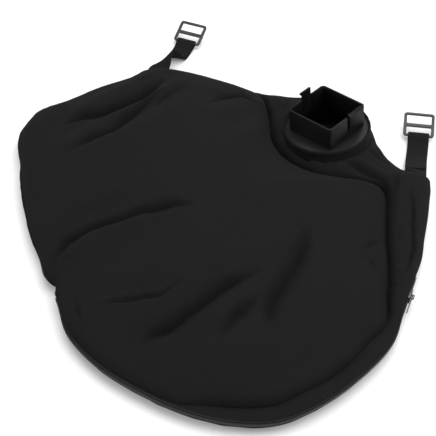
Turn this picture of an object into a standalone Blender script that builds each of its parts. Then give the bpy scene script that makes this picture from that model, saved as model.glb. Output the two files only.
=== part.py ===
"""Cloth collection bag of a blower vacuum, lying on the floor with its zip closed.

Metres, +Z up. The origin is on the floor, on the underside of the bag's bottom panel.
+X runs to the side with the zip slider, +Y to the back, where the inlet and the straps are.

The bag is made of open sheets with a wall thickness. OUTLINE gives the plan of its
widest line, where the zip is, and of the seam of the top panel. The inlet, the cuff
and their hole share one leaning frame. The zip, its slider and its stops are placed
by their distance along the widest line.
"""
import bisect
import math

import bmesh
import bpy
from mathutils import Matrix, Vector

# Cloth and clearances
FABRIC = 0.0012
SEAM_GAP = 0.0003
RUNNING_GAP = 0.0003

# Heights of the bag
EDGE_HEIGHT = 0.020
SEAM_HEIGHT = 0.030
CROWN = 0.034
GUSSET_BULGE = 0.006
GUSSET_BULGE_SHARE = 0.16
LIP = 0.0015
TURN_UP = 0.024

# Reach of the widest line, which the whole plan follows
BAG_LENGTH = 0.669
BAG_WIDTH = 0.595

# Plan of the bag: widest line x, y, then seam of the top panel x, y
OUTLINE = (
    (-0.344, -0.055, -0.337, -0.054),
    (-0.322, -0.108, -0.316, -0.104),
    (-0.265, -0.153, -0.261, -0.147),
    (-0.205, -0.191, -0.201, -0.185),
    (-0.145, -0.224, -0.142, -0.218),
    (-0.082, -0.248, -0.079, -0.241),
    (-0.030, -0.268, -0.027, -0.258),
    (0.020, -0.291, 0.022, -0.276),
    (0.084, -0.295, 0.084, -0.279),
    (0.148, -0.283, 0.145, -0.267),
    (0.205, -0.264, 0.198, -0.249),
    (0.257, -0.234, 0.245, -0.219),
    (0.297, -0.192, 0.279, -0.182),
    (0.318, -0.130, 0.297, -0.124),
    (0.325, -0.064, 0.303, -0.063),
    (0.321, -0.008, 0.299, -0.012),
    (0.302, 0.038, 0.279, 0.034),
    (0.283, 0.084, 0.247, 0.078),
    (0.264, 0.130, 0.212, 0.118),
    (0.236, 0.178, 0.185, 0.152),
    (0.208, 0.222, 0.164, 0.180),
    (0.190, 0.249, 0.148, 0.194),
    (0.174, 0.261, 0.132, 0.191),
    (0.138, 0.247, 0.113, 0.178),
    (0.092, 0.258, 0.082, 0.157),
    (0.050, 0.284, 0.045, 0.142),
    (-0.005, 0.300, 0.004, 0.138),
    (-0.055, 0.284, -0.040, 0.156),
    (-0.092, 0.247, -0.080, 0.192),
    (-0.135, 0.221, -0.129, 0.212),
    (-0.195, 0.199, -0.192, 0.193),
    (-0.262, 0.169, -0.259, 0.163),
    (-0.298, 0.138, -0.291, 0.135),
    (-0.305, 0.096, -0.299, 0.095),
    (-0.322, 0.045, -0.315, 0.044),
    (-0.332, -0.008, -0.325, -0.008),
)
PANEL_STEPS = 30
CURVE_STEPS = 12

# Folds of the top panel: depth, half width, then the valley's line in plan
FOLDS = (
    (0.015, 0.017, ((-0.252, 0.131), (-0.243, 0.069), (-0.250, 0.010), (-0.254, -0.050))),
    (0.012, 0.015, ((-0.205, 0.110), (-0.205, 0.022), (-0.232, -0.046))),
    (0.008, 0.014, ((-0.298, -0.040), (-0.262, -0.084))),
    (0.013, 0.016, ((-0.062, -0.081), (-0.083, -0.131), (-0.101, -0.164), (-0.095, -0.212))),
    (0.013, 0.016, ((0.122, -0.076), (0.118, -0.147), (0.115, -0.194), (0.099, -0.258))),
    (0.011, 0.016, ((0.141, 0.020), (0.163, -0.048), (0.184, -0.094), (0.167, -0.167))),
    (0.008, 0.014, ((0.011, -0.240), (0.037, -0.208), (0.072, -0.165))),
    (0.008, 0.014, ((-0.155, 0.129), (-0.135, 0.180))),
    (0.009, 0.015, ((-0.081, 0.094), (-0.086, 0.170))),
    (0.007, 0.014, ((0.197, 0.072), (0.200, 0.110))),
)
FOLD_SHOULDER = 0.35
FOLD_SPREAD = 1.9
FOLD_FADE = 0.035
FOLD_END = 0.45

# Inlet: square tube on a round collar, leaning towards -X
INLET_AT = (0.015, 0.218, 0.048)
INLET_LEAN = math.radians(7.1)
TUBE_X = 0.0835
TUBE_Y = 0.0810
TUBE_HEIGHT = 0.036
TUBE_CORNER = 0.006
TUBE_WALL = 0.003
COLLAR_RADIUS = 0.062
COLLAR_THICKNESS = 0.003
SPIGOT_RADIUS = 0.0585
SPIGOT_WALL = 0.003
SPIGOT_DEPTH = 0.024
FINGER_WIDTH = 0.018
FINGER_RISE = 0.014
FINGER_ROOT = 0.012
FINGER_SLOT = 0.0025
BARB_REACH = 0.004
BARB_HEIGHT = 0.007
PAD_WIDTH = 0.030
PAD_HEIGHT = 0.024
PAD_PROUD = 0.002
PAD_RISE = 0.003
PAD_SLOT = 0.003

# Cuff: the cloth hem turned over a band round the spigot
CUFF_HEIGHT = 0.019
BAND_THICKNESS = 0.0018
BAND_HEIGHT = 0.008
NECK_RISE = 0.006
NECK_FLARE = 0.030

# Zip: rows of OUTLINE where it starts and ends, and its section
ZIP_FRONT_ROW = 17.3
ZIP_REAR_ROW = 5.85
ZIP_OPENING = 0.0065
ZIP_END_CLEAR = 0.018
ZIP_END_TAPER = 0.025
ZIP_STEP = 0.014
TAPE_THICKNESS = 0.0008
TAPE_INSET = 0.0002
TAPE_REST = 0.0003
COIL_WIDTH = 0.00265
COIL_THICKNESS = 0.0020
CLOSED_HALF_GAP = 0.00015
OPEN_HALF_GAP = 0.0019
STOP_LENGTH = 0.003
STOP_FROM_END = 0.0015

# Slider and pull tab
SLIDER_LENGTH = 0.015
SLIDER_HALF_HEIGHT = 0.0060
SLIDER_PLATE = 0.0012
SLIDER_TRAVEL = 0.020
DIVIDER_WIDTH = 0.0030
DIVIDER_LENGTH = 0.0042
DIVIDER_FORWARD = 0.0020
BRIDGE_WIRE = 0.0008
BRIDGE_SPAN = 0.0064
BRIDGE_CLEAR = 0.0026
PULL_PIN = 0.0009
PULL_WIDTH = 0.0080
PULL_ARM = 0.0013
PULL_WINDOW = 0.0075
PULL_LENGTH = 0.028
PULL_THICKNESS = 0.0012
PULL_HOLE = 0.0015

# Straps and buckles
WEBBING_WIDTH = 0.032
WEBBING = 0.0016
STRAP_LAP = 0.034
STRAP_FLOOR_GAP = 0.0004
LOOP_CLEARANCE = 0.0007
BUCKLE_WIDTH = 0.0475
BUCKLE_SIDE = 0.0045
BUCKLE_THICKNESS = 0.0040
BUCKLE_BAR = 0.0040
BUCKLE_NEAR_SLOT = 0.0130
BUCKLE_MIDDLE_BAR = 0.0055
BUCKLE_FAR_SLOT = 0.0150
BUCKLE_CORNER = 0.0045
BUCKLE_EDGE = 0.0006
BUCKLE_TILT = math.radians(20)
BUCKLE_BAR_HEIGHT = 0.0085

# Edges sharper than this stay sharp on smooth pieces
SHARP_ANGLE = math.radians(32)

# Straps: start on the widest line as an OUTLINE row, heading in plan, length and twist
RIGHT_STRAP = {"row": 22.3, "heading": math.radians(127.0), "length": 0.099, "twist": math.radians(6)}
LEFT_STRAP = {"row": 31.5, "heading": math.radians(113.0), "length": 0.098, "twist": math.radians(58)}

# Finishes: colour, roughness, metallic
FINISHES = {
    "cloth": ((0.017, 0.018, 0.017), 0.85, 0.0),
    "webbing": ((0.022, 0.023, 0.022), 0.80, 0.0),
    "plastic": ((0.030, 0.032, 0.031), 0.45, 0.0),
    "nylon": ((0.026, 0.027, 0.026), 0.60, 0.0),
    "metal": ((0.045, 0.045, 0.046), 0.40, 0.6),
}


def reset_scene():
    """Empty the scene and give back the collections for parts and cutters."""
    for obj in list(bpy.data.objects):
        bpy.data.objects.remove(obj, do_unlink=True)
    parts = bpy.data.collections.new("collection_bag")
    cutters = bpy.data.collections.new("cutters")
    bpy.context.scene.collection.children.link(parts)
    bpy.context.scene.collection.children.link(cutters)
    return parts, cutters


PARTS, CUTTERS = reset_scene()


def material(name, finish):
    """The material of one sub-part, with one of the bag's finishes."""
    colour, roughness, metallic = FINISHES[finish]
    made = bpy.data.materials.new(name)
    made.use_nodes = True
    shader = made.node_tree.nodes["Principled BSDF"]
    shader.inputs["Base Color"].default_value = (*colour, 1.0)
    shader.inputs["Roughness"].default_value = roughness
    shader.inputs["Metallic"].default_value = metallic
    return made


def add_object(name, bm, finish=None, matrix=None, collection=None):
    """Turn a bmesh into a named object of the bag, or into a cutter."""
    mesh = bpy.data.meshes.new(name)
    bm.to_mesh(mesh)
    bm.free()
    obj = bpy.data.objects.new(name, mesh)
    (collection or PARTS).objects.link(obj)
    if finish:
        mesh.materials.append(material(name, finish))
    if matrix:
        obj.matrix_world = matrix
    return obj


def add_cutter(name, bm, matrix=None):
    """A shape that only cuts or joins, hidden from the build."""
    obj = add_object(name, bm, matrix=matrix, collection=CUTTERS)
    obj.hide_render = True
    obj.display_type = 'WIRE'
    return obj


def combine(obj, tool, operation):
    """Cut the tool out of the object, or join it to the object."""
    modifier = obj.modifiers.new(tool.name, 'BOOLEAN')
    modifier.operation = operation
    modifier.object = tool


def thicken(obj, thickness):
    """Give an open sheet its wall on the inner side."""
    modifier = obj.modifiers.new("wall", 'SOLIDIFY')
    modifier.thickness = thickness
    modifier.offset = -1.0


def shade(obj):
    """Shade a piece smooth up to its real edges; what is cut, joined or thickened becomes its own mesh."""
    if obj.modifiers:
        depsgraph = bpy.context.evaluated_depsgraph_get()
        made = bpy.data.meshes.new_from_object(obj.evaluated_get(depsgraph), depsgraph=depsgraph)
        obj.modifiers.clear()
        obj.data = made
    obj.data.shade_smooth()
    obj.data.set_sharp_from_angle(angle=SHARP_ANGLE)


def box(size_x, size_y, size_z, centre):
    """A bmesh box with its centre at the given point."""
    bm = bmesh.new()
    bmesh.ops.create_cube(bm, size=1.0)
    bmesh.ops.scale(bm, vec=(size_x, size_y, size_z), verts=bm.verts)
    bmesh.ops.translate(bm, vec=centre, verts=bm.verts)
    return bm


def prism(points, depth_vector):
    """A closed prism: the polygon through the points, pushed along a vector."""
    bm = bmesh.new()
    face = bm.faces.new([bm.verts.new(point) for point in points])
    pushed = bmesh.ops.extrude_face_region(bm, geom=[face])["geom"]
    verts = [item for item in pushed if isinstance(item, bmesh.types.BMVert)]
    bmesh.ops.translate(bm, vec=depth_vector, verts=verts)
    bmesh.ops.recalc_face_normals(bm, faces=bm.faces)
    return bm


def rounded_rectangle(size_x, size_y, corner, segments=4):
    """Points of a rectangle with round corners, about the origin."""
    points = []
    for turn, (sign_x, sign_y) in enumerate(((1, 1), (-1, 1), (-1, -1), (1, -1))):
        centre_x = sign_x * (size_x / 2 - corner)
        centre_y = sign_y * (size_y / 2 - corner)
        for step in range(segments + 1):
            angle = (turn + step / segments) * math.pi / 2
            points.append((centre_x + corner * math.cos(angle), centre_y + corner * math.sin(angle)))
    return points


def rounded_prism(size_x, size_y, corner, low, high, segments=4):
    """A vertical prism with a round-cornered plan between two heights."""
    plan = rounded_rectangle(size_x, size_y, corner, segments)
    return prism([(x, y, low) for x, y in plan], (0, 0, high - low))


def smooth_step(value):
    """0 below 0, 1 above 1, with level ends between."""
    value = min(1.0, max(0.0, value))
    return value * value * (3 - 2 * value)


# Plan curves


def plan_scale(column, reach):
    """How far the plan is stretched so that one column of OUTLINE has the given reach."""
    values = [entry[column] for entry in OUTLINE]
    return reach / (max(values) - min(values))


PLAN_SCALE = (plan_scale(0, BAG_LENGTH), plan_scale(1, BAG_WIDTH))


def on_plan(point):
    """Place of a plan point once the plan has its reach."""
    return Vector((point[0] * PLAN_SCALE[0], point[1] * PLAN_SCALE[1]))


def outline_point(row, first_column):
    """Point of a closed smooth curve through two columns of OUTLINE."""
    count = len(OUTLINE)
    start = math.floor(row)
    share = row - start
    near = [OUTLINE[(start + shift) % count] for shift in (-1, 0, 1, 2)]
    p0, p1, p2, p3 = [on_plan(entry[first_column:first_column + 2]) for entry in near]
    return 0.5 * (2 * p1 + (p2 - p0) * share + (2 * p0 - 5 * p1 + 4 * p2 - p3) * share ** 2
                  + (3 * p1 - p0 - 3 * p2 + p3) * share ** 3)


def edge_plan(row):
    """Plan of the widest line."""
    return outline_point(row, 0)


def seam_plan(row):
    """Plan of the top panel's seam."""
    return outline_point(row, 2)


def measure_edge():
    """Rows and running lengths along the widest line, from its first point round."""
    rows = [step / CURVE_STEPS for step in range(len(OUTLINE) * CURVE_STEPS + 1)]
    lengths = [0.0]
    for first, second in zip(rows, rows[1:]):
        lengths.append(lengths[-1] + (edge_plan(second) - edge_plan(first)).length)
    return rows, lengths


EDGE_ROWS, EDGE_LENGTHS = measure_edge()


def interpolate(value, known, wanted):
    """Look a value up in one rising list and read the other."""
    index = min(max(bisect.bisect_right(known, value) - 1, 0), len(known) - 2)
    share = (value - known[index]) / (known[index + 1] - known[index])
    return wanted[index] + share * (wanted[index + 1] - wanted[index])


def row_at_length(length):
    return interpolate(length, EDGE_LENGTHS, EDGE_ROWS)


def length_at_row(row):
    return interpolate(row, EDGE_ROWS, EDGE_LENGTHS)


ZIP_FRONT = length_at_row(ZIP_FRONT_ROW)
ZIP_REAR = length_at_row(ZIP_REAR_ROW)


def edge_frame(length):
    """Plan point, outward direction and running direction on the widest line."""
    row = row_at_length(length)
    step = 0.01
    along = (edge_plan(row + step) - edge_plan(row - step)).normalized()
    point = edge_plan(row)
    return Vector((point.x, point.y, 0.0)), Vector((along.y, -along.x, 0.0)), Vector((along.x, along.y, 0.0))


def half_opening(length):
    """Half the height that the zip keeps open between gusset and bottom panel."""
    behind = smooth_step(1 + (length - ZIP_REAR + ZIP_END_CLEAR) / ZIP_END_TAPER)
    ahead = smooth_step(1 + (ZIP_FRONT + ZIP_END_CLEAR - length) / ZIP_END_TAPER)
    return SEAM_GAP / 2 + (ZIP_OPENING - SEAM_GAP / 2) * min(behind, ahead)


# Leaning frame of the inlet


INLET_PLAN = on_plan(INLET_AT[:2])
INLET_FRAME = Matrix.Translation((*INLET_PLAN, INLET_AT[2])) @ Matrix.Rotation(-INLET_LEAN, 4, 'Y')
CUFF_INNER = SPIGOT_RADIUS + SEAM_GAP
CUFF_OUTER = CUFF_INNER + 2 * FABRIC + BAND_THICKNESS + 2 * SEAM_GAP
NECK_HOLE = CUFF_OUTER + SEAM_GAP


def inlet_axis_plan(height):
    """Plan point of the inlet's axis at a height."""
    lean = math.tan(INLET_LEAN) * (height - INLET_AT[2])
    return Vector((INLET_PLAN.x - lean, INLET_PLAN.y))


# Cloth sheets


def sheet_stations():
    """Running lengths at which the sheets are divided, the same for all of them."""
    count = 4 * PANEL_STEPS
    return [EDGE_LENGTHS[-1] * index / count for index in range(count)]


STATIONS = sheet_stations()
SHEET_EDGE = [edge_plan(row_at_length(length)) for length in STATIONS]


def loops_sheet(loops):
    """A tube-like open sheet through closed loops of points, and its first and last edges."""
    bm = bmesh.new()
    bmesh.ops.create_circle(bm, segments=len(loops[0]), radius=1.0)
    ring = list(bm.verts)
    first = last = list(bm.edges)
    for vert, point in zip(ring, loops[0]):
        vert.co = point
    for loop in loops[1:]:
        made = bmesh.ops.extrude_edge_only(bm, edges=last)["geom"]
        fresh = {item for item in made if isinstance(item, bmesh.types.BMVert)}
        last = [item for item in made if isinstance(item, bmesh.types.BMEdge)
                and item.verts[0] in fresh and item.verts[1] in fresh]
        ring = [next(edge.other_vert(vert) for edge in vert.link_edges if edge.other_vert(vert) in fresh)
                for vert in ring]
        for vert, point in zip(ring, loop):
            vert.co = point
    return bm, first, last


def face_outwards(bm, outward):
    """Turn a sheet over if its first face looks away from the outward direction."""
    bmesh.ops.recalc_face_normals(bm, faces=bm.faces)
    bm.faces.ensure_lookup_table()
    score = sum(face.normal.dot(outward(face.calc_center_median())) * face.calc_area() for face in bm.faces)
    if score < 0:
        bmesh.ops.reverse_faces(bm, faces=bm.faces)


def neck_rise(plan):
    """Height that the gusset gains as it climbs to the cuff."""
    distance = (plan - inlet_axis_plan(SEAM_HEIGHT)).length - NECK_HOLE
    return NECK_RISE * smooth_step(1 - distance / NECK_FLARE)


def gusset_point(length, share):
    """Point of the gusset, from the top panel's seam (0) to the widest line (1)."""
    row = row_at_length(length)
    seam = seam_plan(row)
    edge = edge_plan(row)
    width = (edge - seam).length
    start = SEAM_GAP / width
    across = start + (1 - start) * math.sin(share * math.pi / 2)
    plan = seam.lerp(edge, across)
    low = EDGE_HEIGHT + half_opening(length) + LIP
    bulge = min(GUSSET_BULGE, GUSSET_BULGE_SHARE * width)
    height = low + (SEAM_HEIGHT - low) * math.cos(share * math.pi / 2) + bulge * math.sin(share * math.pi)
    rise = neck_rise(plan) * smooth_step(across * width / NECK_FLARE)
    return Vector((plan.x, plan.y, height + rise))


def side_gusset():
    """Side strip from the top panel's seam out and down to the zip."""
    shares = (0.0, 0.2, 0.42, 0.7, 1.0)
    loops = [[gusset_point(length, share) for length in STATIONS] for share in shares]
    lip = [point - Vector((0, 0, LIP)) for point in loops[-1]]
    bm = loops_sheet(loops + [lip])[0]
    face_outwards(bm, lambda point: Vector((point.x, point.y, abs(point.length))))
    obj = add_object("side_gusset", bm, "cloth")
    thicken(obj, FABRIC)
    hole = bmesh.new()
    bmesh.ops.create_cone(hole, cap_ends=True, segments=48, radius1=NECK_HOLE, radius2=NECK_HOLE, depth=0.09)
    combine(obj, add_cutter("neck_hole", hole, INLET_FRAME), 'DIFFERENCE')
    return obj


def distance_to_line(plan, line):
    """Distance to a chain of points, and the length from the foot to the chain's nearer end."""
    total = sum((second - first).length for first, second in zip(line, line[1:]))
    best = (math.inf, 0.0)
    run = 0.0
    for first, second in zip(line, line[1:]):
        part = second - first
        share = min(1.0, max(0.0, (plan - first).dot(part) / part.length_squared))
        foot = first + share * part
        here = run + share * part.length
        best = min(best, ((plan - foot).length, min(here, total - here)))
        run += part.length
    return best


def fold_height(plan):
    """Height that the folds add at a plan point: the deepest valley and the highest shoulder."""
    valley = 0.0
    shoulder = 0.0
    for depth, half_width, points in FOLDS:
        distance, to_end = distance_to_line(plan, [on_plan(point) for point in points])
        fade = FOLD_END + (1 - FOLD_END) * smooth_step(to_end / FOLD_FADE)
        across = distance / half_width
        valley = max(valley, depth * fade * math.exp(-across ** 2))
        shoulder = max(shoulder, FOLD_SHOULDER * depth * fade * math.exp(-((across - FOLD_SPREAD) ** 2)))
    return shoulder * math.exp(-valley / shoulder) - valley if shoulder > 0 else 0.0


def panel_point(share, length):
    """Point of the top panel, from its middle (0) to its seam (1)."""
    plan = seam_plan(row_at_length(length)) * share
    crown = CROWN * (1 - share ** 2.4) ** 0.8
    loose = smooth_step((1 - share) / 0.12)
    return Vector((plan.x, plan.y, SEAM_HEIGHT + crown + loose * fold_height(plan)))


def top_panel():
    """Upper cloth panel: a square grid drawn out to the seam, crowned and folded."""
    bm = bmesh.new()
    bmesh.ops.create_grid(bm, x_segments=PANEL_STEPS, y_segments=PANEL_STEPS, size=1.0)
    total = EDGE_LENGTHS[-1]
    for vert in bm.verts:
        reach = max(abs(vert.co.x), abs(vert.co.y))
        if reach < 0.5 / PANEL_STEPS:
            vert.co = panel_point(0.0, 0.0)
            continue
        x = vert.co.x / reach
        y = vert.co.y / reach
        if abs(x + 1) < 1e-5:
            around = (1 - y) / 8
        elif abs(y + 1) < 1e-5:
            around = 0.25 + (x + 1) / 8
        elif abs(x - 1) < 1e-5:
            around = 0.5 + (y + 1) / 8
        else:
            around = 0.75 + (1 - x) / 8
        vert.co = panel_point(reach, (around % 1.0) * total)
    face_outwards(bm, lambda point: Vector((0, 0, 1)))
    obj = add_object("top_panel", bm, "cloth")
    thicken(obj, FABRIC)
    return obj


def bottom_panel():
    """Lower cloth panel: flat on the floor, its edge turned up to the zip."""
    loops = []
    for turn in (None, 0.0, 30.0, 60.0, 90.0):
        loop = []
        for length in STATIONS:
            point, outward, _ = edge_frame(length)
            top = EDGE_HEIGHT - half_opening(length)
            if turn is None:
                loop.append(point + Vector((0, 0, top)))
                continue
            angle = math.radians(turn)
            inset = TURN_UP * (1 - math.cos(angle))
            height = (top - LIP) * (1 - math.sin(angle))
            loop.append(point - outward * inset + Vector((0, 0, height)))
        loops.append(loop)
    bm, _, inner = loops_sheet(loops)
    bmesh.ops.edgeloop_fill(bm, edges=inner)
    face_outwards(bm, lambda point: Vector((point.x, point.y, -0.3)))
    obj = add_object("bottom_panel", bm, "cloth")
    thicken(obj, FABRIC)
    return obj


# Sweeps


def sweep(name, frames, sections, finish):
    """A closed solid through sections, each given in its own frame of point, across and up."""
    loops = []
    for (origin, across, up), section in zip(frames, sections):
        loops.append([origin + across * a + up * b for a, b in section])
    bm, first, last = loops_sheet(loops)
    bmesh.ops.edgeloop_fill(bm, edges=first)
    bmesh.ops.edgeloop_fill(bm, edges=last)
    bmesh.ops.recalc_face_normals(bm, faces=bm.faces)
    return add_object(name, bm, finish)


# Zip


SLIDER_REST = STOP_FROM_END + STOP_LENGTH + 0.0005 + SLIDER_LENGTH / 2 + SLIDER_TRAVEL
FORK_START = SLIDER_REST + 0.0010
FORK_END = SLIDER_REST + 0.0060
COIL_BASE = -TAPE_INSET + TAPE_REST
COIL_TOP = COIL_BASE + COIL_THICKNESS


def fork_half_gap(from_end):
    """Half the gap between the two sides of the zip, at a distance from its front end."""
    closed = smooth_step((from_end - FORK_START) / (FORK_END - FORK_START))
    return OPEN_HALF_GAP + (CLOSED_HALF_GAP - OPEN_HALF_GAP) * closed


def zip_stations(start, stop):
    """Distances from the zip's front end, close together where the zip forks."""
    distances = [start]
    for fork_step in range(5):
        distances.append(FORK_START + (FORK_END - FORK_START) * fork_step / 4)
    steps = max(1, round((stop - FORK_END) / ZIP_STEP))
    for step in range(1, steps + 1):
        distances.append(FORK_END + (stop - FORK_END) * step / steps)
    return distances


def zip_side(name, side, start, stop, section_of):
    """One strip of the zip, above (side 1) or below (side -1) its middle line."""
    frames = []
    sections = []
    for from_end in zip_stations(start, stop):
        point, outward, _ = edge_frame(ZIP_FRONT - from_end)
        frames.append((point + Vector((0, 0, EDGE_HEIGHT)), outward, Vector((0, 0, side))))
        sections.append(section_of(fork_half_gap(from_end)))
    return sweep(name, frames, sections, "nylon")


def tape_section(half_gap):
    """Flat tape from the gap to the cloth's edge."""
    outer = -TAPE_INSET
    inner = outer - TAPE_THICKNESS
    far = ZIP_OPENING - SEAM_GAP
    return [(outer, half_gap), (outer, far), (inner, far), (inner, half_gap)]


def coil_section(half_gap):
    """Half-round coil sewn along the tape's inner edge."""
    far = half_gap + COIL_WIDTH
    shoulder = COIL_BASE + 0.55 * COIL_THICKNESS
    rounded = 0.3 * COIL_WIDTH
    return [(COIL_BASE, half_gap), (COIL_TOP, half_gap + rounded * 0.4), (COIL_TOP, far - rounded),
            (shoulder, far), (COIL_BASE, far)]


def zip_frame(from_end):
    """Matrix with X outward, Y towards the zip's front end and Z up."""
    point, outward, along = edge_frame(ZIP_FRONT - from_end)
    matrix = Matrix((outward, along, Vector((0, 0, 1)))).transposed().to_4x4()
    matrix.translation = point + Vector((0, 0, EDGE_HEIGHT))
    return matrix


def top_stop(name, side):
    """Small clip on the end of one coil, closed over the coil and standing on the tape."""
    low = OPEN_HALF_GAP
    high = low + COIL_WIDTH
    reach = COIL_THICKNESS
    bm = box(reach, STOP_LENGTH, high - low, (COIL_BASE + reach / 2, 0, side * (low + high) / 2))
    return add_object(name, bm, "metal", zip_frame(STOP_FROM_END + STOP_LENGTH / 2))


def bottom_stop(from_end):
    """Block across both coils at the zip's far end."""
    half = COIL_WIDTH + CLOSED_HALF_GAP
    bm = box(COIL_THICKNESS, STOP_LENGTH, 2 * half, (COIL_BASE + COIL_THICKNESS / 2, 0, 0))
    return add_object("zip_bottom_stop", bm, "metal", zip_frame(from_end))


def zip_slider():
    """Slider: outer plate with turned sides, divider, inner plate and bridge."""
    plate_in = COIL_TOP + RUNNING_GAP
    plate_out = plate_in + SLIDER_PLATE
    half = SLIDER_HALF_HEIGHT
    side_in = OPEN_HALF_GAP + COIL_WIDTH + RUNNING_GAP
    foot = -TAPE_INSET + RUNNING_GAP
    channel = [(plate_out, -half), (plate_out, half), (foot, half), (foot, side_in), (plate_in, side_in),
               (plate_in, -side_in), (foot, -side_in), (foot, -half)]
    start = -SLIDER_LENGTH / 2
    body = prism([(x, start, z) for x, z in channel], (0, SLIDER_LENGTH, 0))
    obj = add_object("zip_slider", body, "metal", zip_frame(SLIDER_REST))

    under_out = -TAPE_INSET - TAPE_THICKNESS - RUNNING_GAP
    under_in = under_out - SLIDER_PLATE
    under = box(SLIDER_PLATE, SLIDER_LENGTH, 2 * half, ((under_out + under_in) / 2, 0, 0))
    joined = add_cutter("slider_inner_plate", under, obj.matrix_world)
    deep = (plate_out - under_in) - SLIDER_PLATE
    divider = box(deep, DIVIDER_LENGTH, DIVIDER_WIDTH,
                  (under_in + SLIDER_PLATE / 2 + deep / 2, DIVIDER_FORWARD + DIVIDER_LENGTH / 2, 0))
    combine(obj, add_cutter("slider_divider", divider, obj.matrix_world), 'UNION')
    combine(obj, joined, 'UNION')

    outer_span = BRIDGE_SPAN + 2 * BRIDGE_WIRE
    inner_span = BRIDGE_SPAN - 2 * BRIDGE_WIRE
    sunk = plate_out - SLIDER_PLATE / 2
    crest = plate_out + BRIDGE_CLEAR + 2 * BRIDGE_WIRE
    shoulder = 0.0009
    arch = [(sunk, -outer_span / 2), (crest - shoulder, -outer_span / 2), (crest, -outer_span / 2 + shoulder),
            (crest, outer_span / 2 - shoulder), (crest - shoulder, outer_span / 2), (sunk, outer_span / 2),
            (sunk, inner_span / 2), (plate_out + BRIDGE_CLEAR, inner_span / 2),
            (plate_out + BRIDGE_CLEAR, -inner_span / 2), (sunk, -inner_span / 2)]
    bridge = prism([(x, y, -BRIDGE_WIRE) for x, y in arch], (0, 0, 2 * BRIDGE_WIRE))
    combine(obj, add_cutter("slider_bridge", bridge, obj.matrix_world), 'UNION')
    return obj


def zip_pull():
    """Pull tab, lying back along the coil; its origin is on the pin under the bridge."""
    pin_out = COIL_TOP + RUNNING_GAP + SLIDER_PLATE + BRIDGE_CLEAR / 2
    matrix = zip_frame(SLIDER_REST) @ Matrix.Translation((pin_out, 0, 0))
    plan = rounded_rectangle(PULL_LENGTH, PULL_WIDTH, PULL_WIDTH * 0.3)
    middle = -PULL_LENGTH / 2 + PULL_PIN
    low = -PULL_THICKNESS / 2
    plate = prism([(low, middle + y, z) for y, z in plan], (PULL_THICKNESS, 0, 0))
    obj = add_object("zip_pull", plate, "metal", matrix)
    open_width = PULL_WIDTH - 2 * PULL_ARM
    front = 2 * PULL_PIN
    window = box(4 * PULL_THICKNESS, front + PULL_WINDOW, open_width, (0, (front - PULL_WINDOW) / 2, 0))
    combine(obj, add_cutter("pull_window", window, matrix), 'DIFFERENCE')
    pin = bmesh.new()
    bmesh.ops.create_cone(pin, cap_ends=True, segments=12, radius1=PULL_PIN, radius2=PULL_PIN,
                          depth=PULL_WIDTH - PULL_ARM)
    combine(obj, add_cutter("pull_pin", pin, matrix), 'UNION')
    hole = bmesh.new()
    bmesh.ops.create_cone(hole, cap_ends=True, segments=12, radius1=PULL_HOLE, radius2=PULL_HOLE,
                          depth=4 * PULL_THICKNESS)
    turned = Matrix.Translation((0, PULL_PIN - PULL_LENGTH + 2.4 * PULL_HOLE, 0)) @ Matrix.Rotation(math.pi / 2, 4, 'Y')
    combine(obj, add_cutter("pull_hole", hole, matrix @ turned), 'DIFFERENCE')
    return obj


# Inlet


def cylinder(radius, low, high, segments=64):
    """An upright cylinder between two heights."""
    bm = bmesh.new()
    bmesh.ops.create_cone(bm, cap_ends=True, segments=segments, radius1=radius, radius2=radius, depth=high - low)
    bmesh.ops.translate(bm, vec=(0, 0, (low + high) / 2), verts=bm.verts)
    return bm


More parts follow.
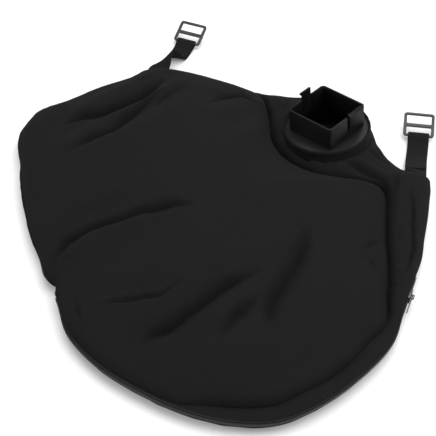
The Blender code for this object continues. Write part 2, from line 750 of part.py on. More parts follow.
def inlet_connector():
    """One moulding: square tube with snap finger and catch pad, collar and round spigot."""
    bottom = -COLLAR_THICKNESS - SPIGOT_DEPTH
    body = cylinder(COLLAR_RADIUS, -COLLAR_THICKNESS, 0.0)
    obj = add_object("inlet_connector", body, "plastic", INLET_FRAME)
    spigot = cylinder(SPIGOT_RADIUS, bottom, -COLLAR_THICKNESS / 2)
    combine(obj, add_cutter("spigot", spigot, INLET_FRAME), 'UNION')
    tube = rounded_prism(TUBE_X, TUBE_Y, TUBE_CORNER, -COLLAR_THICKNESS / 2, TUBE_HEIGHT)
    combine(obj, add_cutter("tube", tube, INLET_FRAME), 'UNION')

    face = TUBE_X / 2
    pad_middle = PAD_SLOT / 2 + PAD_WIDTH / 2
    top = TUBE_HEIGHT + PAD_RISE
    pad_profile = [(face - TUBE_WALL, top - PAD_HEIGHT), (face, top - PAD_HEIGHT),
                   (face + PAD_PROUD, top - PAD_HEIGHT + PAD_PROUD), (face + PAD_PROUD, top - PAD_PROUD),
                   (face, top), (face - TUBE_WALL, top)]
    pad = prism([(x, pad_middle - PAD_WIDTH / 2, z) for x, z in pad_profile], (0, PAD_WIDTH, 0))
    combine(obj, add_cutter("catch_pad", pad, INLET_FRAME), 'UNION')

    inner = -face + TUBE_WALL
    crest = TUBE_HEIGHT + FINGER_RISE
    barb = [(inner, FINGER_ROOT), (inner, crest), (-face, crest), (-face - BARB_REACH, crest - BARB_HEIGHT * 0.7),
            (-face - BARB_REACH * 0.8, crest - BARB_HEIGHT), (-face, crest - BARB_HEIGHT), (-face, FINGER_ROOT)]
    finger = prism([(x, -FINGER_WIDTH / 2, z) for x, z in barb], (0, FINGER_WIDTH, 0))
    combine(obj, add_cutter("snap_finger", finger, INLET_FRAME), 'UNION')

    bore = rounded_prism(TUBE_X - 2 * TUBE_WALL, TUBE_Y - 2 * TUBE_WALL, TUBE_CORNER - TUBE_WALL,
                         -2 * COLLAR_THICKNESS, TUBE_HEIGHT + FINGER_RISE * 2)
    combine(obj, add_cutter("tube_bore", bore, INLET_FRAME), 'DIFFERENCE')
    throat = cylinder(SPIGOT_RADIUS - SPIGOT_WALL, bottom * 2, -COLLAR_THICKNESS)
    combine(obj, add_cutter("spigot_bore", throat, INLET_FRAME), 'DIFFERENCE')
    for side in (-1, 1):
        at = (-face, side * (FINGER_WIDTH + FINGER_SLOT) / 2, (FINGER_ROOT + TUBE_HEIGHT * 2) / 2)
        slot = box(TUBE_WALL * 3, FINGER_SLOT, TUBE_HEIGHT * 2 - FINGER_ROOT, at)
        combine(obj, add_cutter(f"finger_slot_{side + 1}", slot, INLET_FRAME), 'DIFFERENCE')
    slot = box(TUBE_WALL * 4, PAD_SLOT, TUBE_HEIGHT * 2 - FINGER_ROOT, (face, 0, (FINGER_ROOT + TUBE_HEIGHT * 2) / 2))
    combine(obj, add_cutter("pad_slot", slot, INLET_FRAME), 'DIFFERENCE')
    return obj


def turned(name, profile, finish, segments=48):
    """A ring turned about the inlet's axis from a closed profile of radius and height."""
    bm = bmesh.new()
    verts = [bm.verts.new((radius, 0, height)) for radius, height in profile]
    edges = [bm.edges.new((verts[index - 1], verts[index])) for index in range(len(verts))]
    bmesh.ops.spin(bm, geom=verts + edges, cent=(0, 0, 0), axis=(0, 0, 1), angle=2 * math.pi,
                   steps=segments, use_merge=True)
    bmesh.ops.recalc_face_normals(bm, faces=bm.faces)
    return add_object(name, bm, finish, INLET_FRAME)


def neck_cuff():
    """Cloth hem turned over: inner wall, top fold and outer wall, open below."""
    top = -COLLAR_THICKNESS - SEAM_GAP
    bottom = top - CUFF_HEIGHT
    inner = CUFF_INNER + FABRIC
    outer = CUFF_OUTER - FABRIC
    profile = [(CUFF_INNER, bottom), (CUFF_INNER, top), (CUFF_OUTER - FABRIC / 2, top), (CUFF_OUTER, top - FABRIC / 2),
               (CUFF_OUTER, bottom), (outer, bottom), (outer, top - FABRIC), (inner, top - FABRIC), (inner, bottom)]
    return turned("neck_cuff", profile, "cloth")


def hem_band():
    """Band inside the hem that grips the spigot."""
    top = -COLLAR_THICKNESS - SEAM_GAP - FABRIC - SEAM_GAP
    bottom = top - BAND_HEIGHT
    inner = CUFF_INNER + FABRIC + SEAM_GAP
    outer = inner + BAND_THICKNESS
    return turned("hem_band", [(inner, bottom), (inner, top), (outer, top), (outer, bottom)], "webbing")


# Straps and buckles


def strap_path(length):
    """Side view of a strap: run out, down, round the buckle's bar and back over itself."""
    bar_height = BUCKLE_BAR_HEIGHT
    loop = BUCKLE_BAR / 2 * math.sqrt(2) + LOOP_CLEARANCE + WEBBING / 2
    floor = WEBBING / 2 + STRAP_FLOOR_GAP
    start = EDGE_HEIGHT
    lowest = 0.66 * length

    def run(at):
        fall = smooth_step(at / lowest)
        rise = smooth_step((at - lowest) / (length - lowest))
        return start + (floor - start) * fall + (bar_height - loop - floor) * rise

    points = [(at, run(at)) for at in [length * step / 14 for step in range(15)]]
    for step in range(1, 12):
        angle = -math.pi / 2 + math.pi * step / 12
        points.append((length + loop * math.cos(angle), bar_height + loop * math.sin(angle)))
    for step in range(7):
        back = length - STRAP_LAP * step / 6
        spread = smooth_step(1 - step / 3)
        near = run(back) + (WEBBING + SEAM_GAP) * 1.15
        points.append((back, near + (bar_height + loop - near) * spread))
    return points


def outside_edge(plan):
    """Distance of a plan point from the sheets' edge, negative inside the bag."""
    nearest = math.inf
    winding = 0.0
    for first, second in zip(SHEET_EDGE, SHEET_EDGE[1:] + SHEET_EDGE[:1]):
        part = second - first
        share = min(1.0, max(0.0, (plan - first).dot(part) / part.length_squared))
        nearest = min(nearest, (plan - first - share * part).length)
        winding += (first - plan).angle_signed(second - plan)
    return -nearest if abs(winding) > math.pi else nearest


def strap_root(strap):
    """Frame with X along the strap in plan and Z up, and how far its end is skewed to the edge."""
    middle = edge_plan(strap["row"])
    along = Vector((math.cos(strap["heading"]), math.sin(strap["heading"])))
    side = Vector((-along.y, along.x))
    places = [WEBBING_WIDTH * (step / 10 - 0.5) for step in range(11)]
    starts = []
    for place in places:
        step = -20
        while outside_edge(middle + side * place + along * step * 0.0005) < 2 * SEAM_GAP:
            step += 1
        starts.append(step * 0.0005)
    skew = (starts[-1] - starts[0]) / WEBBING_WIDTH
    shift = max(start - skew * place for start, place in zip(starts, places))
    matrix = Matrix.Rotation(strap["heading"], 4, 'Z')
    matrix.translation = (middle + along * shift).to_3d()
    return matrix, skew


def strap_solid(name, strap):
    """Webbing swept along its path, twisted between the bag and the lap."""
    matrix, skew = strap_root(strap)
    points = strap_path(strap["length"])
    free = strap["length"] - STRAP_LAP
    frames = []
    for index, (along, height) in enumerate(points):
        before = Vector(points[max(0, index - 1)])
        after = Vector(points[min(len(points) - 1, index + 1)])
        direction = (after - before).normalized()
        normal = Vector((-direction.y, 0, direction.x))
        twist = 0.0
        if index < 15 and along < free:
            twist = strap["twist"] * math.sin(math.pi * along / free) ** 2
        across = Vector((0, 1, 0))
        if index < 15:
            across.x = skew * (1 - smooth_step(3 * along / strap["length"]))
        turned_across = across * math.cos(twist) + normal * math.sin(twist)
        turned_normal = normal * math.cos(twist) - across * math.sin(twist)
        lift = abs(math.sin(twist)) * WEBBING_WIDTH / 2
        origin = matrix @ Vector((along, 0, height + lift))
        frames.append((origin, matrix.to_3x3() @ turned_across, matrix.to_3x3() @ turned_normal))
    half = WEBBING_WIDTH / 2
    section = [(-half, -WEBBING / 2), (half, -WEBBING / 2), (half, WEBBING / 2), (-half, WEBBING / 2)]
    return sweep(name, frames, [section] * len(frames), "webbing")


def buckle(name, strap):
    """Slide buckle; its origin is on the bar that the webbing goes round."""
    matrix = strap_root(strap)[0] @ Matrix.Translation((strap["length"], 0, BUCKLE_BAR_HEIGHT))
    matrix = matrix @ Matrix.Rotation(-BUCKLE_TILT, 4, 'Y')
    length = 2 * BUCKLE_BAR + BUCKLE_MIDDLE_BAR + BUCKLE_NEAR_SLOT + BUCKLE_FAR_SLOT
    middle = length / 2 - BUCKLE_BAR / 2
    plan = rounded_rectangle(length, BUCKLE_WIDTH, BUCKLE_CORNER, 3)
    low = -BUCKLE_THICKNESS / 2
    frame = prism([(middle + x, y, low) for x, y in plan], (0, 0, BUCKLE_THICKNESS))
    obj = add_object(name, frame, "plastic", matrix)
    open_width = BUCKLE_WIDTH - 2 * BUCKLE_SIDE
    near = BUCKLE_BAR / 2
    far = near + BUCKLE_NEAR_SLOT + BUCKLE_MIDDLE_BAR
    for label, start, wide in (("near", near, BUCKLE_NEAR_SLOT), ("far", far, BUCKLE_FAR_SLOT)):
        slot = rounded_prism(wide, open_width, 0.0012, -BUCKLE_THICKNESS, BUCKLE_THICKNESS, 2)
        bmesh.ops.translate(slot, vec=(start + wide / 2, 0, 0), verts=slot.verts)
        combine(obj, add_cutter(f"{name}_{label}_slot", slot, matrix), 'DIFFERENCE')
    edges = obj.modifiers.new("edges", 'BEVEL')
    edges.width = BUCKLE_EDGE
    edges.segments = 1
    edges.limit_method = 'ANGLE'
    edges.angle_limit = math.radians(50)
    return obj


def build():
    """Make every piece of the bag."""
    top_panel()
    side_gusset()
    bottom_panel()
    inlet_connector()
    neck_cuff()
    hem_band()

    zip_length = ZIP_FRONT - ZIP_REAR
    coil_start = STOP_FROM_END + STOP_LENGTH + SEAM_GAP
    coil_stop = zip_length - STOP_FROM_END - STOP_LENGTH - SEAM_GAP
    for label, side in (("upper", 1), ("lower", -1)):
        zip_side(f"zip_tape_{label}", side, 0.0, zip_length, tape_section)
        zip_side(f"zip_coil_{label}", side, coil_start, coil_stop, coil_section)
        top_stop(f"zip_top_stop_{label}", side)
    bottom_stop(zip_length - STOP_FROM_END - STOP_LENGTH / 2)
    zip_slider()
    zip_pull()

    for label, strap in (("right", RIGHT_STRAP), ("left", LEFT_STRAP)):
        strap_solid(f"strap_{label}", strap)
        buckle(f"buckle_{label}", strap)

    bpy.context.view_layer.update()
    for obj in PARTS.objects:
        shade(obj)


build()
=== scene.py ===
"""Dresses the cloth collection bag of a blower vacuum: cloth, hem, zip, webbing and mouldings.

Metres, +Z up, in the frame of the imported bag. The origin is on the floor under the bag.
"""
import math

import bmesh
import bpy
import numpy as np
from bpy.props import FloatProperty, FloatVectorProperty, IntProperty, PointerProperty
from bpy.types import Operator, Panel, PropertyGroup
from mathutils import Matrix, Vector, noise


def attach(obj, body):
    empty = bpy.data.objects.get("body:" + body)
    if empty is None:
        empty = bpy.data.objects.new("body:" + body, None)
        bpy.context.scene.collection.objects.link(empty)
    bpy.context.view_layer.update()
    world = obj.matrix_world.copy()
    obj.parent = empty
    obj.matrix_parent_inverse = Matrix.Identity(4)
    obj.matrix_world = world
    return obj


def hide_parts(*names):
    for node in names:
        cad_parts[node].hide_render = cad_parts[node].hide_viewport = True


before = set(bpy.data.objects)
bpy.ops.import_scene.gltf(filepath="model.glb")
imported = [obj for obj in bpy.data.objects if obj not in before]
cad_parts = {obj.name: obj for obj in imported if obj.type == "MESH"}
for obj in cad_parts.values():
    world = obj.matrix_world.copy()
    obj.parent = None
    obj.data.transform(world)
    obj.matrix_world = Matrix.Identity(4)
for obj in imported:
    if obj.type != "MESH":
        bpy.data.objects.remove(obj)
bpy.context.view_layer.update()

bl_info = {
    "name": "Collection Bag",
    "version": (1, 0, 0),
    "blender": (4, 5, 0),
    "location": "View3D > Sidebar > Bag",
    "description": "Builds the cloth, zip, webbing and mouldings of a blower vacuum's collection bag",
    "category": "Object",
}

# Plan of the bag: widest line x, y, then seam of the top panel x, y
OUTLINE = np.array((
    (-0.344, -0.055, -0.337, -0.054),
    (-0.322, -0.108, -0.316, -0.104),
    (-0.265, -0.153, -0.261, -0.147),
    (-0.205, -0.191, -0.201, -0.185),
    (-0.145, -0.224, -0.142, -0.218),
    (-0.082, -0.248, -0.079, -0.241),
    (-0.030, -0.268, -0.027, -0.258),
    (0.020, -0.291, 0.022, -0.276),
    (0.084, -0.295, 0.084, -0.279),
    (0.148, -0.283, 0.145, -0.267),
    (0.205, -0.264, 0.198, -0.249),
    (0.257, -0.234, 0.245, -0.219),
    (0.297, -0.192, 0.279, -0.182),
    (0.318, -0.130, 0.297, -0.124),
    (0.325, -0.064, 0.303, -0.063),
    (0.321, -0.008, 0.299, -0.012),
    (0.302, 0.038, 0.279, 0.034),
    (0.283, 0.084, 0.247, 0.078),
    (0.264, 0.130, 0.212, 0.118),
    (0.236, 0.178, 0.185, 0.152),
    (0.208, 0.222, 0.164, 0.180),
    (0.190, 0.249, 0.148, 0.194),
    (0.174, 0.261, 0.132, 0.191),
    (0.138, 0.247, 0.113, 0.178),
    (0.092, 0.258, 0.082, 0.157),
    (0.050, 0.284, 0.045, 0.142),
    (-0.005, 0.300, 0.004, 0.138),
    (-0.055, 0.284, -0.040, 0.156),
    (-0.092, 0.247, -0.080, 0.192),
    (-0.135, 0.221, -0.129, 0.212),
    (-0.195, 0.199, -0.192, 0.193),
    (-0.262, 0.169, -0.259, 0.163),
    (-0.298, 0.138, -0.291, 0.135),
    (-0.305, 0.096, -0.299, 0.095),
    (-0.322, 0.045, -0.315, 0.044),
    (-0.332, -0.008, -0.325, -0.008),
))
CURVE_STEPS = 12

# Heights of the bag
EDGE_HEIGHT = 0.020
SEAM_HEIGHT = 0.030
CROWN = 0.034
GUSSET_BULGE = 0.006
GUSSET_BULGE_SHARE = 0.16
TURN_UP = 0.024
SEAM_GAP = 0.0003
SEAM_TUCK = 0.0035
FORM_CLEARANCE = 0.0015
GUSSET_SHARES = (0.0, 0.04, 0.08, 0.13, 0.18, 0.24, 0.30, 0.36, 0.42, 0.49, 0.56, 0.63, 0.71, 0.79, 0.87, 0.94, 1.0)

# Folds of the top panel: depth, half width, then the valley's line in plan
FOLDS = (
    (0.015, 0.017, ((-0.252, 0.131), (-0.243, 0.069), (-0.250, 0.010), (-0.254, -0.050))),
    (0.012, 0.015, ((-0.205, 0.110), (-0.205, 0.022), (-0.232, -0.046))),
    (0.008, 0.014, ((-0.298, -0.040), (-0.262, -0.084))),
    (0.013, 0.016, ((-0.062, -0.081), (-0.083, -0.131), (-0.101, -0.164), (-0.095, -0.212))),
    (0.013, 0.016, ((0.122, -0.076), (0.118, -0.147), (0.115, -0.194), (0.099, -0.258))),
    (0.011, 0.016, ((0.141, 0.020), (0.163, -0.048), (0.184, -0.094), (0.167, -0.167))),
    (0.008, 0.014, ((0.011, -0.240), (0.037, -0.208), (0.072, -0.165))),
    (0.008, 0.014, ((-0.155, 0.129), (-0.135, 0.180))),
    (0.009, 0.015, ((-0.081, 0.094), (-0.086, 0.170))),
    (0.007, 0.014, ((0.197, 0.072), (0.200, 0.110))),
)
FOLD_SHARE = 0.45
FOLD_SHOULDER = 0.35
FOLD_FADE = 0.035

# Creases of the cloth: depth, half width, then the crease's line in plan
CREASES = (
    (0.0100, 0.0075, ((-0.248, 0.132), (-0.239, 0.075), (-0.251, 0.016), (-0.267, -0.025), (-0.273, -0.066))),
    (0.0090, 0.0080, ((-0.225, 0.105), (-0.215, 0.033), (-0.207, -0.021), (-0.217, -0.065), (-0.221, -0.101))),
    (0.0050, 0.0035, ((-0.263, -0.048), (-0.254, -0.081), (-0.249, -0.095))),
    (0.0055, 0.0045, ((-0.143, 0.112), (-0.147, 0.154), (-0.131, 0.183), (-0.086, 0.190))),
    (0.0040, 0.0060, ((-0.204, 0.142), (-0.209, 0.098), (-0.195, 0.050))),
    (0.0095, 0.0070, ((-0.070, -0.246), (-0.079, -0.228), (-0.088, -0.200), (-0.081, -0.172), (-0.064, -0.138),
                      (-0.045, -0.099), (-0.021, -0.064), (0.004, -0.040))),
    (0.0080, 0.0045, ((-0.070, -0.232), (-0.056, -0.208))),
    (0.0060, 0.0035, ((0.020, -0.252), (0.035, -0.230), (0.053, -0.205), (0.073, -0.183), (0.082, -0.140))),
    (0.0095, 0.0075, ((0.105, -0.253), (0.110, -0.223), (0.121, -0.190), (0.125, -0.158), (0.123, -0.129),
                      (0.132, -0.088), (0.144, -0.060))),
    (0.0070, 0.0060, ((0.174, -0.178), (0.168, -0.144), (0.166, -0.111), (0.169, -0.083))),
    (0.0075, 0.0075, ((0.207, -0.132), (0.199, -0.115), (0.183, -0.082), (0.172, -0.049), (0.164, -0.017),
                      (0.144, 0.022), (0.134, 0.044))),
    (0.0060, 0.0040, ((0.206, 0.054), (0.204, 0.087), (0.209, 0.115))),
    (0.0055, 0.0040, ((0.206, 0.056), (0.225, 0.064), (0.251, 0.058))),
    (0.0070, 0.0035, ((-0.013, -0.250), (0.011, -0.267), (0.033, -0.276))),
)

# Creases of the gusset: the seam of its side, the folds beside the neck and the bunched end at the slider
GUSSET_CREASES = (
    (0.0055, 0.0026, ((0.172, 0.222), (0.213, 0.176), (0.248, 0.131), (0.266, 0.096), (0.266, 0.070))),
    (0.0080, 0.0050, ((0.052, 0.178), (0.094, 0.194), (0.138, 0.200), (0.166, 0.194))),
    (0.0060, 0.0040, ((0.060, 0.214), (0.076, 0.232), (0.098, 0.232), (0.132, 0.236))),
    (0.0050, 0.0040, ((0.071, 0.261), (0.100, 0.246), (0.134, 0.250))),
    (0.0050, 0.0040, ((0.138, 0.242), (0.155, 0.212), (0.171, 0.180))),
    (0.0045, 0.0035, ((0.200, 0.150), (0.214, 0.142), (0.232, 0.116))),
    (0.0060, 0.0030, ((0.240, 0.086), (0.256, 0.080), (0.270, 0.082))),
    (0.0060, 0.0030, ((0.252, 0.066), (0.266, 0.060), (0.284, 0.058))),
    (0.0050, 0.0045, ((-0.078, 0.240), (-0.066, 0.214), (-0.052, 0.190))),
    (0.0050, 0.0035, ((-0.058, 0.262), (-0.056, 0.232), (-0.050, 0.206))),
)

# How the cloth behaves while it settles
CLOTH_SETTINGS = {"quality": 4, "mass": 0.12, "tension_stiffness": 12, "compression_stiffness": 12,
                  "shear_stiffness": 4, "bending_stiffness": 1.5, "air_damping": 2.0}

# Inlet frame and the cuff round its spigot, with the hem's section as radius and height
INLET_AT = (0.015, 0.218, 0.048)
INLET_LEAN = math.radians(7.1)
CUFF_RADIUS = 0.0668
CUFF_PROFILE = ((0.0589, -0.0220), (0.0589, -0.0036), (0.0622, -0.0034), (0.0625, 0.0004), (0.0630, 0.0016),
                (0.0642, 0.0022), (0.0656, 0.0016), (0.0662, 0.0), (0.0664, -0.003), (0.0657, -0.0062),
                (0.0662, -0.009), (0.0664, -0.014), (0.0662, -0.019), (0.0655, -0.0225), (0.0630, -0.0232),
                (0.0600, -0.0230))
NECK_RISE = 0.006
NECK_FLARE = 0.030

# Zip
ZIP_FRONT_ROW = 17.3
ZIP_REAR_ROW = 5.85
ZIP_OPENING = 0.0065
ZIP_END_CLEAR = 0.002
ZIP_END_TAPER = 0.014
COIL_BASE = 0.0001
COIL_THICKNESS = 0.0020
COIL_WIDTH = 0.00265
CLOSED_HALF_GAP = 0.00015
OPEN_HALF_GAP = 0.0019
FORK_START = 0.0335
FORK_END = 0.0385
COIL_START = 0.0048
COIL_PITCH = 0.0016

# Straps: root, heading, length, twist, skew of the root, lap, and how far the root lies to one side
STRAPS = {
    "right": {"root": (0.164142, 0.25904), "heading": math.radians(127.0), "length": 0.099,
              "twist": math.radians(6), "skew": 0.4375, "lap": 0.084, "aside": 0.006},
    "left": {"root": (-0.284024, 0.154894), "heading": math.radians(113.0), "length": 0.098,
             "twist": math.radians(-58), "skew": -0.34375, "lap": 0.034, "aside": 0.008},
}
WEBBING_WIDTH = 0.032
WEBBING = 0.0016
BUCKLE_BAR = 0.0040
BUCKLE_BAR_HEIGHT = 0.0085
LOOP_CLEARANCE = 0.0007
STRAP_FLOOR_GAP = 0.0004


# Lamps: name, place, size in metres, power in watts
LAMPS = (
    ("key", (0.15, 0.25, 2.1), 1.9, 44),
    ("fill", (1.9, 0.2, 1.1), 1.2, 7),
    ("rim", (-0.6, 1.9, 1.0), 0.8, 5),
    ("edge_left", (-0.94, -1.46, 0.92), 0.5, 7),
    ("edge_right", (1.44, 0.94, 0.90), 0.5, 4),
)
CAMERA_AZIMUTH = math.radians(45)
CAMERA_ELEVATION = math.radians(48)
CAMERA_DISTANCE = 1.380
CAMERA_LENS = 78.44


def smooth_step(value):
    """0 below 0, 1 above 1, with level ends between."""
    value = np.clip(value, 0.0, 1.0)
    return value * value * (3 - 2 * value)


# Plan curves


def outline_rows(rows, first_column):
    """Points of a closed smooth curve through two columns of OUTLINE."""
    rows = np.asarray(rows, dtype=float)
    count = len(OUTLINE)
    start = np.floor(rows).astype(int)
    share = (rows - start)[..., None]
    p0, p1, p2, p3 = [OUTLINE[(start + shift) % count, first_column:first_column + 2] for shift in (-1, 0, 1, 2)]
    return 0.5 * (2 * p1 + (p2 - p0) * share + (2 * p0 - 5 * p1 + 4 * p2 - p3) * share ** 2
                  + (3 * p1 - p0 - 3 * p2 + p3) * share ** 3)


EDGE_ROWS = np.arange(len(OUTLINE) * CURVE_STEPS + 1) / CURVE_STEPS
EDGE_STEPS = np.linalg.norm(np.diff(outline_rows(EDGE_ROWS, 0), axis=0), axis=1)
EDGE_LENGTHS = np.concatenate(([0.0], np.cumsum(EDGE_STEPS)))
EDGE_TOTAL = EDGE_LENGTHS[-1]


def edge_at(lengths):
    """Widest line's plan points at running lengths."""
    return outline_rows(np.interp(lengths, EDGE_LENGTHS, EDGE_ROWS), 0)


def seam_at(lengths):
    """Top seam's plan points at the widest line's running lengths."""
    return outline_rows(np.interp(lengths, EDGE_LENGTHS, EDGE_ROWS), 2)


def on_floor(plan):
    """Plan points as points at height 0."""
    return np.column_stack((plan, np.zeros(len(plan))))


def wander(point, scale, seed):
    """Smooth noise between -1 and 1 at a point."""
    return noise.noise(Vector(point) / scale + Vector((seed * 7.3, seed * 3.1, seed * 5.7)))


def edge_frames(lengths):
    """Plan points, outward and running directions on the widest line."""
    step = 0.0015
    points = edge_at(lengths)
    along = edge_at(np.asarray(lengths) + step) - edge_at(np.asarray(lengths) - step)
    along /= np.linalg.norm(along, axis=1)[:, None]
    outward = np.stack((along[:, 1], -along[:, 0]), axis=1)
    return points, outward, along


def wanders(points, scale, seed):
    """Smooth noise at many points."""
    return np.array([wander(point, scale, seed) for point in points])


def band(rows, first, last, fade=0.9):
    """1 between two rows of OUTLINE, fading to 0 outside them."""
    return smooth_step((rows - first) / fade + 1) * smooth_step((last - rows) / fade + 1)


def regions(lengths):
    """Shares of the rim's left side, its front ring and its right side with the neck, at running lengths."""
    rows = np.interp(lengths, EDGE_LENGTHS, EDGE_ROWS)
    front = band(rows, 10.9, 14.6, 1.3)
    right = band(rows, 16.2, 28.0, 1.2)
    return np.clip(1 - front - right, 0, 1), front, right


def dressed_edge(lengths):
    """Widest line of the cloth: pinched behind the zip and a little uneven where no zip holds it."""
    points, outward, along = edge_frames(lengths)
    rows = np.interp(lengths, EDGE_LENGTHS, EDGE_ROWS)
    pinch = 0.006 * np.exp(-((rows - 5.50) / 0.16) ** 2) - 0.003 * np.exp(-((rows - 5.0) / 0.3) ** 2)
    loose = 1 - band(rows, 5.85, 17.4, 0.4)
    uneven = 0.0016 * wanders(on_floor(points), 0.045, 8.0)
    return points - outward * (pinch - uneven * loose)[:, None], outward, along


def dressed_seam(lengths):
    """Seam of the top panel on the cloth, and how far it sinks below its height in the CAD."""
    left, front, right = regions(lengths)
    seam = seam_at(lengths)
    edge = dressed_edge(lengths)[0]
    spots = on_floor(seam)
    rows = np.interp(lengths, EDGE_LENGTHS, EDGE_ROWS)
    shift = (0.5 + 0.3 * band(rows, 6.4, 10.2)) * left + 0.20 * front * wanders(spots, 0.05, 3.0)
    seam = seam + (edge - seam) * shift[:, None]
    sink = 0.0035 * left + front * (0.0050 + 0.0025 * wanders(spots, 0.06, 4.0)) + 0.0140 * right
    return seam, sink


STATIONS = np.linspace(0, EDGE_TOTAL, 480, endpoint=False)
ZIP_FRONT = float(np.interp(ZIP_FRONT_ROW, EDGE_ROWS, EDGE_LENGTHS))
ZIP_REAR = float(np.interp(ZIP_REAR_ROW, EDGE_ROWS, EDGE_LENGTHS))
SEAM_LENGTHS = np.linspace(0, EDGE_TOTAL, 1440, endpoint=False)
SEAM_LINE, SEAM_SINK = dressed_seam(SEAM_LENGTHS)
SEAM_ANGLES = np.unwrap(np.arctan2(SEAM_LINE[:, 1], SEAM_LINE[:, 0]))
SEAM_RADII = np.hypot(SEAM_LINE[:, 0], SEAM_LINE[:, 1])


def by_angle(angles, values):
    """Values along the seam, read in directions from the panel's middle."""
    turns = (angles - SEAM_ANGLES[0]) % (2 * math.pi) + SEAM_ANGLES[0]
    return np.interp(turns, np.append(SEAM_ANGLES, SEAM_ANGLES[0] + 2 * math.pi), np.append(values, values[0]))


def seam_radius(angles):
    """Distance from the panel's middle to its seam in a direction."""
    return by_angle(angles, SEAM_RADII)


def half_opening(lengths):
    """Half the height that the zip keeps open between gusset and bottom panel."""
    behind = smooth_step(1 + (lengths - ZIP_REAR + ZIP_END_CLEAR) / ZIP_END_TAPER)
    ahead = smooth_step(1 + (ZIP_FRONT + ZIP_END_CLEAR - lengths) / ZIP_END_TAPER)
    return SEAM_GAP / 2 + (ZIP_OPENING - SEAM_GAP / 2) * np.minimum(behind, ahead)


def line_distance(plan, line):
    """Distances of plan points to a chain, and the lengths from their feet to its nearer end."""
    line = np.array(line)
    parts = np.diff(line, axis=0)
    sizes = np.linalg.norm(parts, axis=1)
    total = sizes.sum()
    best = np.full(len(plan), np.inf)
    to_end = np.zeros(len(plan))
    run = 0.0
    for first, part, size in zip(line, parts, sizes):
        share = np.clip((plan - first) @ part / size ** 2, 0.0, 1.0)
        distance = np.linalg.norm(plan - first - share[:, None] * part, axis=1)
        here = run + share * size
        nearer = distance < best
        best = np.where(nearer, distance, best)
        to_end = np.where(nearer, np.minimum(here, total - here), to_end)
        run += size
    return best, to_end


def fold_heights(plan, folds):
    """Heights that folds add at plan points: the deepest valley and the highest shoulder."""
    valley = np.zeros(len(plan))
    shoulder = np.full(len(plan), 1e-9)
    for depth, half_width, line in folds:
        distance, to_end = line_distance(plan, line)
        fade = 0.45 + 0.55 * smooth_step(to_end / FOLD_FADE)
        across = distance / half_width
        valley = np.maximum(valley, depth * fade * np.exp(-across ** 2))
        shoulder = np.maximum(shoulder, FOLD_SHOULDER * depth * fade * np.exp(-((across - 1.9) ** 2)))
    return shoulder * np.exp(-valley / shoulder) - valley


def crease_heights(plan, creases, seed):
    """Depths of sharp, slightly crooked creases at plan points, each with one flank raised."""
    spots = on_floor(plan)
    crooked = plan + 0.0035 * np.column_stack((wanders(spots, 0.03, seed), wanders(spots, 0.03, seed + 1)))
    crooked += 0.0012 * np.column_stack((wanders(spots, 0.009, seed + 2), wanders(spots, 0.009, seed + 3)))
    deepest = np.zeros(len(plan))
    raised = np.zeros(len(plan))
    for depth, half_width, line in creases:
        distance, to_end = line_distance(crooked, line)
        fade = smooth_step(0.06 + to_end / 0.055)
        across = distance / (half_width * (0.4 + 0.6 * fade))
        deepest = np.maximum(deepest, depth * fade * np.exp(-across ** 1.4))
        raised = np.maximum(raised, 0.16 * depth * fade * np.exp(-((across - 2.4) / 1.1) ** 2))
    return raised * np.exp(-deepest / 0.002) - deepest


def panel_points(plan):
    """Points of the top panel above plan points, their loose share, and the painted shade beside the sunk seam."""
    angles = np.arctan2(plan[:, 1], plan[:, 0])
    share = np.clip(np.hypot(plan[:, 0], plan[:, 1]) / seam_radius(angles), 0, 1)
    crown = CROWN * (1 - share ** 2.4) ** 0.8
    loose = smooth_step((1 - share) / 0.12)
    sunk = by_angle(angles, SEAM_SINK) * np.exp(-((1 - share) / 0.026) ** 1.3)
    spots = on_floor(plan)
    broad = 0.0022 * wanders(spots, 0.11, 21.0) + 0.0009 * wanders(spots, 0.04, 22.0)
    height = SEAM_HEIGHT + crown - sunk + loose * (FOLD_SHARE * fold_heights(plan, FOLDS) + broad)
    # painted shade: the cloth's colour darkens beside the seam where it sinks into a valley
    seam_shade = by_angle(angles, SEAM_SINK) / 0.014 * np.exp(-((1 - share) / 0.020) ** 2)
    return np.column_stack((plan, height)), smooth_step((1 - share) / 0.05), seam_shade


INLET_FRAME = Matrix.Translation(INLET_AT) @ Matrix.Rotation(-INLET_LEAN, 4, 'Y')


def gusset_points(lengths, share):
    """Points of the gusset at one share of the way from the top seam to the widest line, their loose share, and the
    painted shade beside the seam.
    """
    left, front, right = regions(lengths)
    seam, sink = dressed_seam(lengths)
    edge = dressed_edge(lengths)[0]
    width = np.linalg.norm(edge - seam, axis=1)
    start = SEAM_GAP / width
    across = start + (1 - start) * math.sin(share * math.pi / 2)
    plan = seam + (edge - seam) * across[:, None]
    low = EDGE_HEIGHT + half_opening(lengths)
    spots = on_floor(edge)
    bulge = np.minimum(GUSSET_BULGE, GUSSET_BULGE_SHARE * width)
    bulge = bulge * (1 - 0.8 * left) * (1 + 0.5 * front * wanders(spots, 0.07, 5.0))
    height = low + (SEAM_HEIGHT - sink - low) * math.cos(share * math.pi / 2) + bulge * math.sin(share * math.pi)
    from_seam = across * width
    tube = (sink + 0.003) * (1 - np.exp(-(from_seam / 0.0065) ** 2)) * np.cos(across * math.pi / 2) ** 0.7
    height = height + right * tube
    lean = math.tan(INLET_LEAN) * (SEAM_HEIGHT - INLET_AT[2])
    centre = np.array((INLET_AT[0] - lean, INLET_AT[1]))
    distance = np.linalg.norm(plan - centre, axis=1) - CUFF_RADIUS
    rise = NECK_RISE * smooth_step(1 - distance / NECK_FLARE) * smooth_step(from_seam / NECK_FLARE)
    free = smooth_step(distance / 0.012) * smooth_step((1 - across) / 0.1) * smooth_step(from_seam / 0.004)
    # painted shade: the gusset's colour darkens just below the seam on the front and right sides
    seam_shade = (0.4 * front + right) * np.exp(-(from_seam / 0.0055) ** 2)
    return np.column_stack((plan, height + rise)), free * right, seam_shade


# Making pieces


def new_object(name, data):
    """An object in the scene for a mesh, a light or a camera."""
    obj = bpy.data.objects.new(name, data)
    bpy.context.scene.collection.objects.link(obj)
    return obj


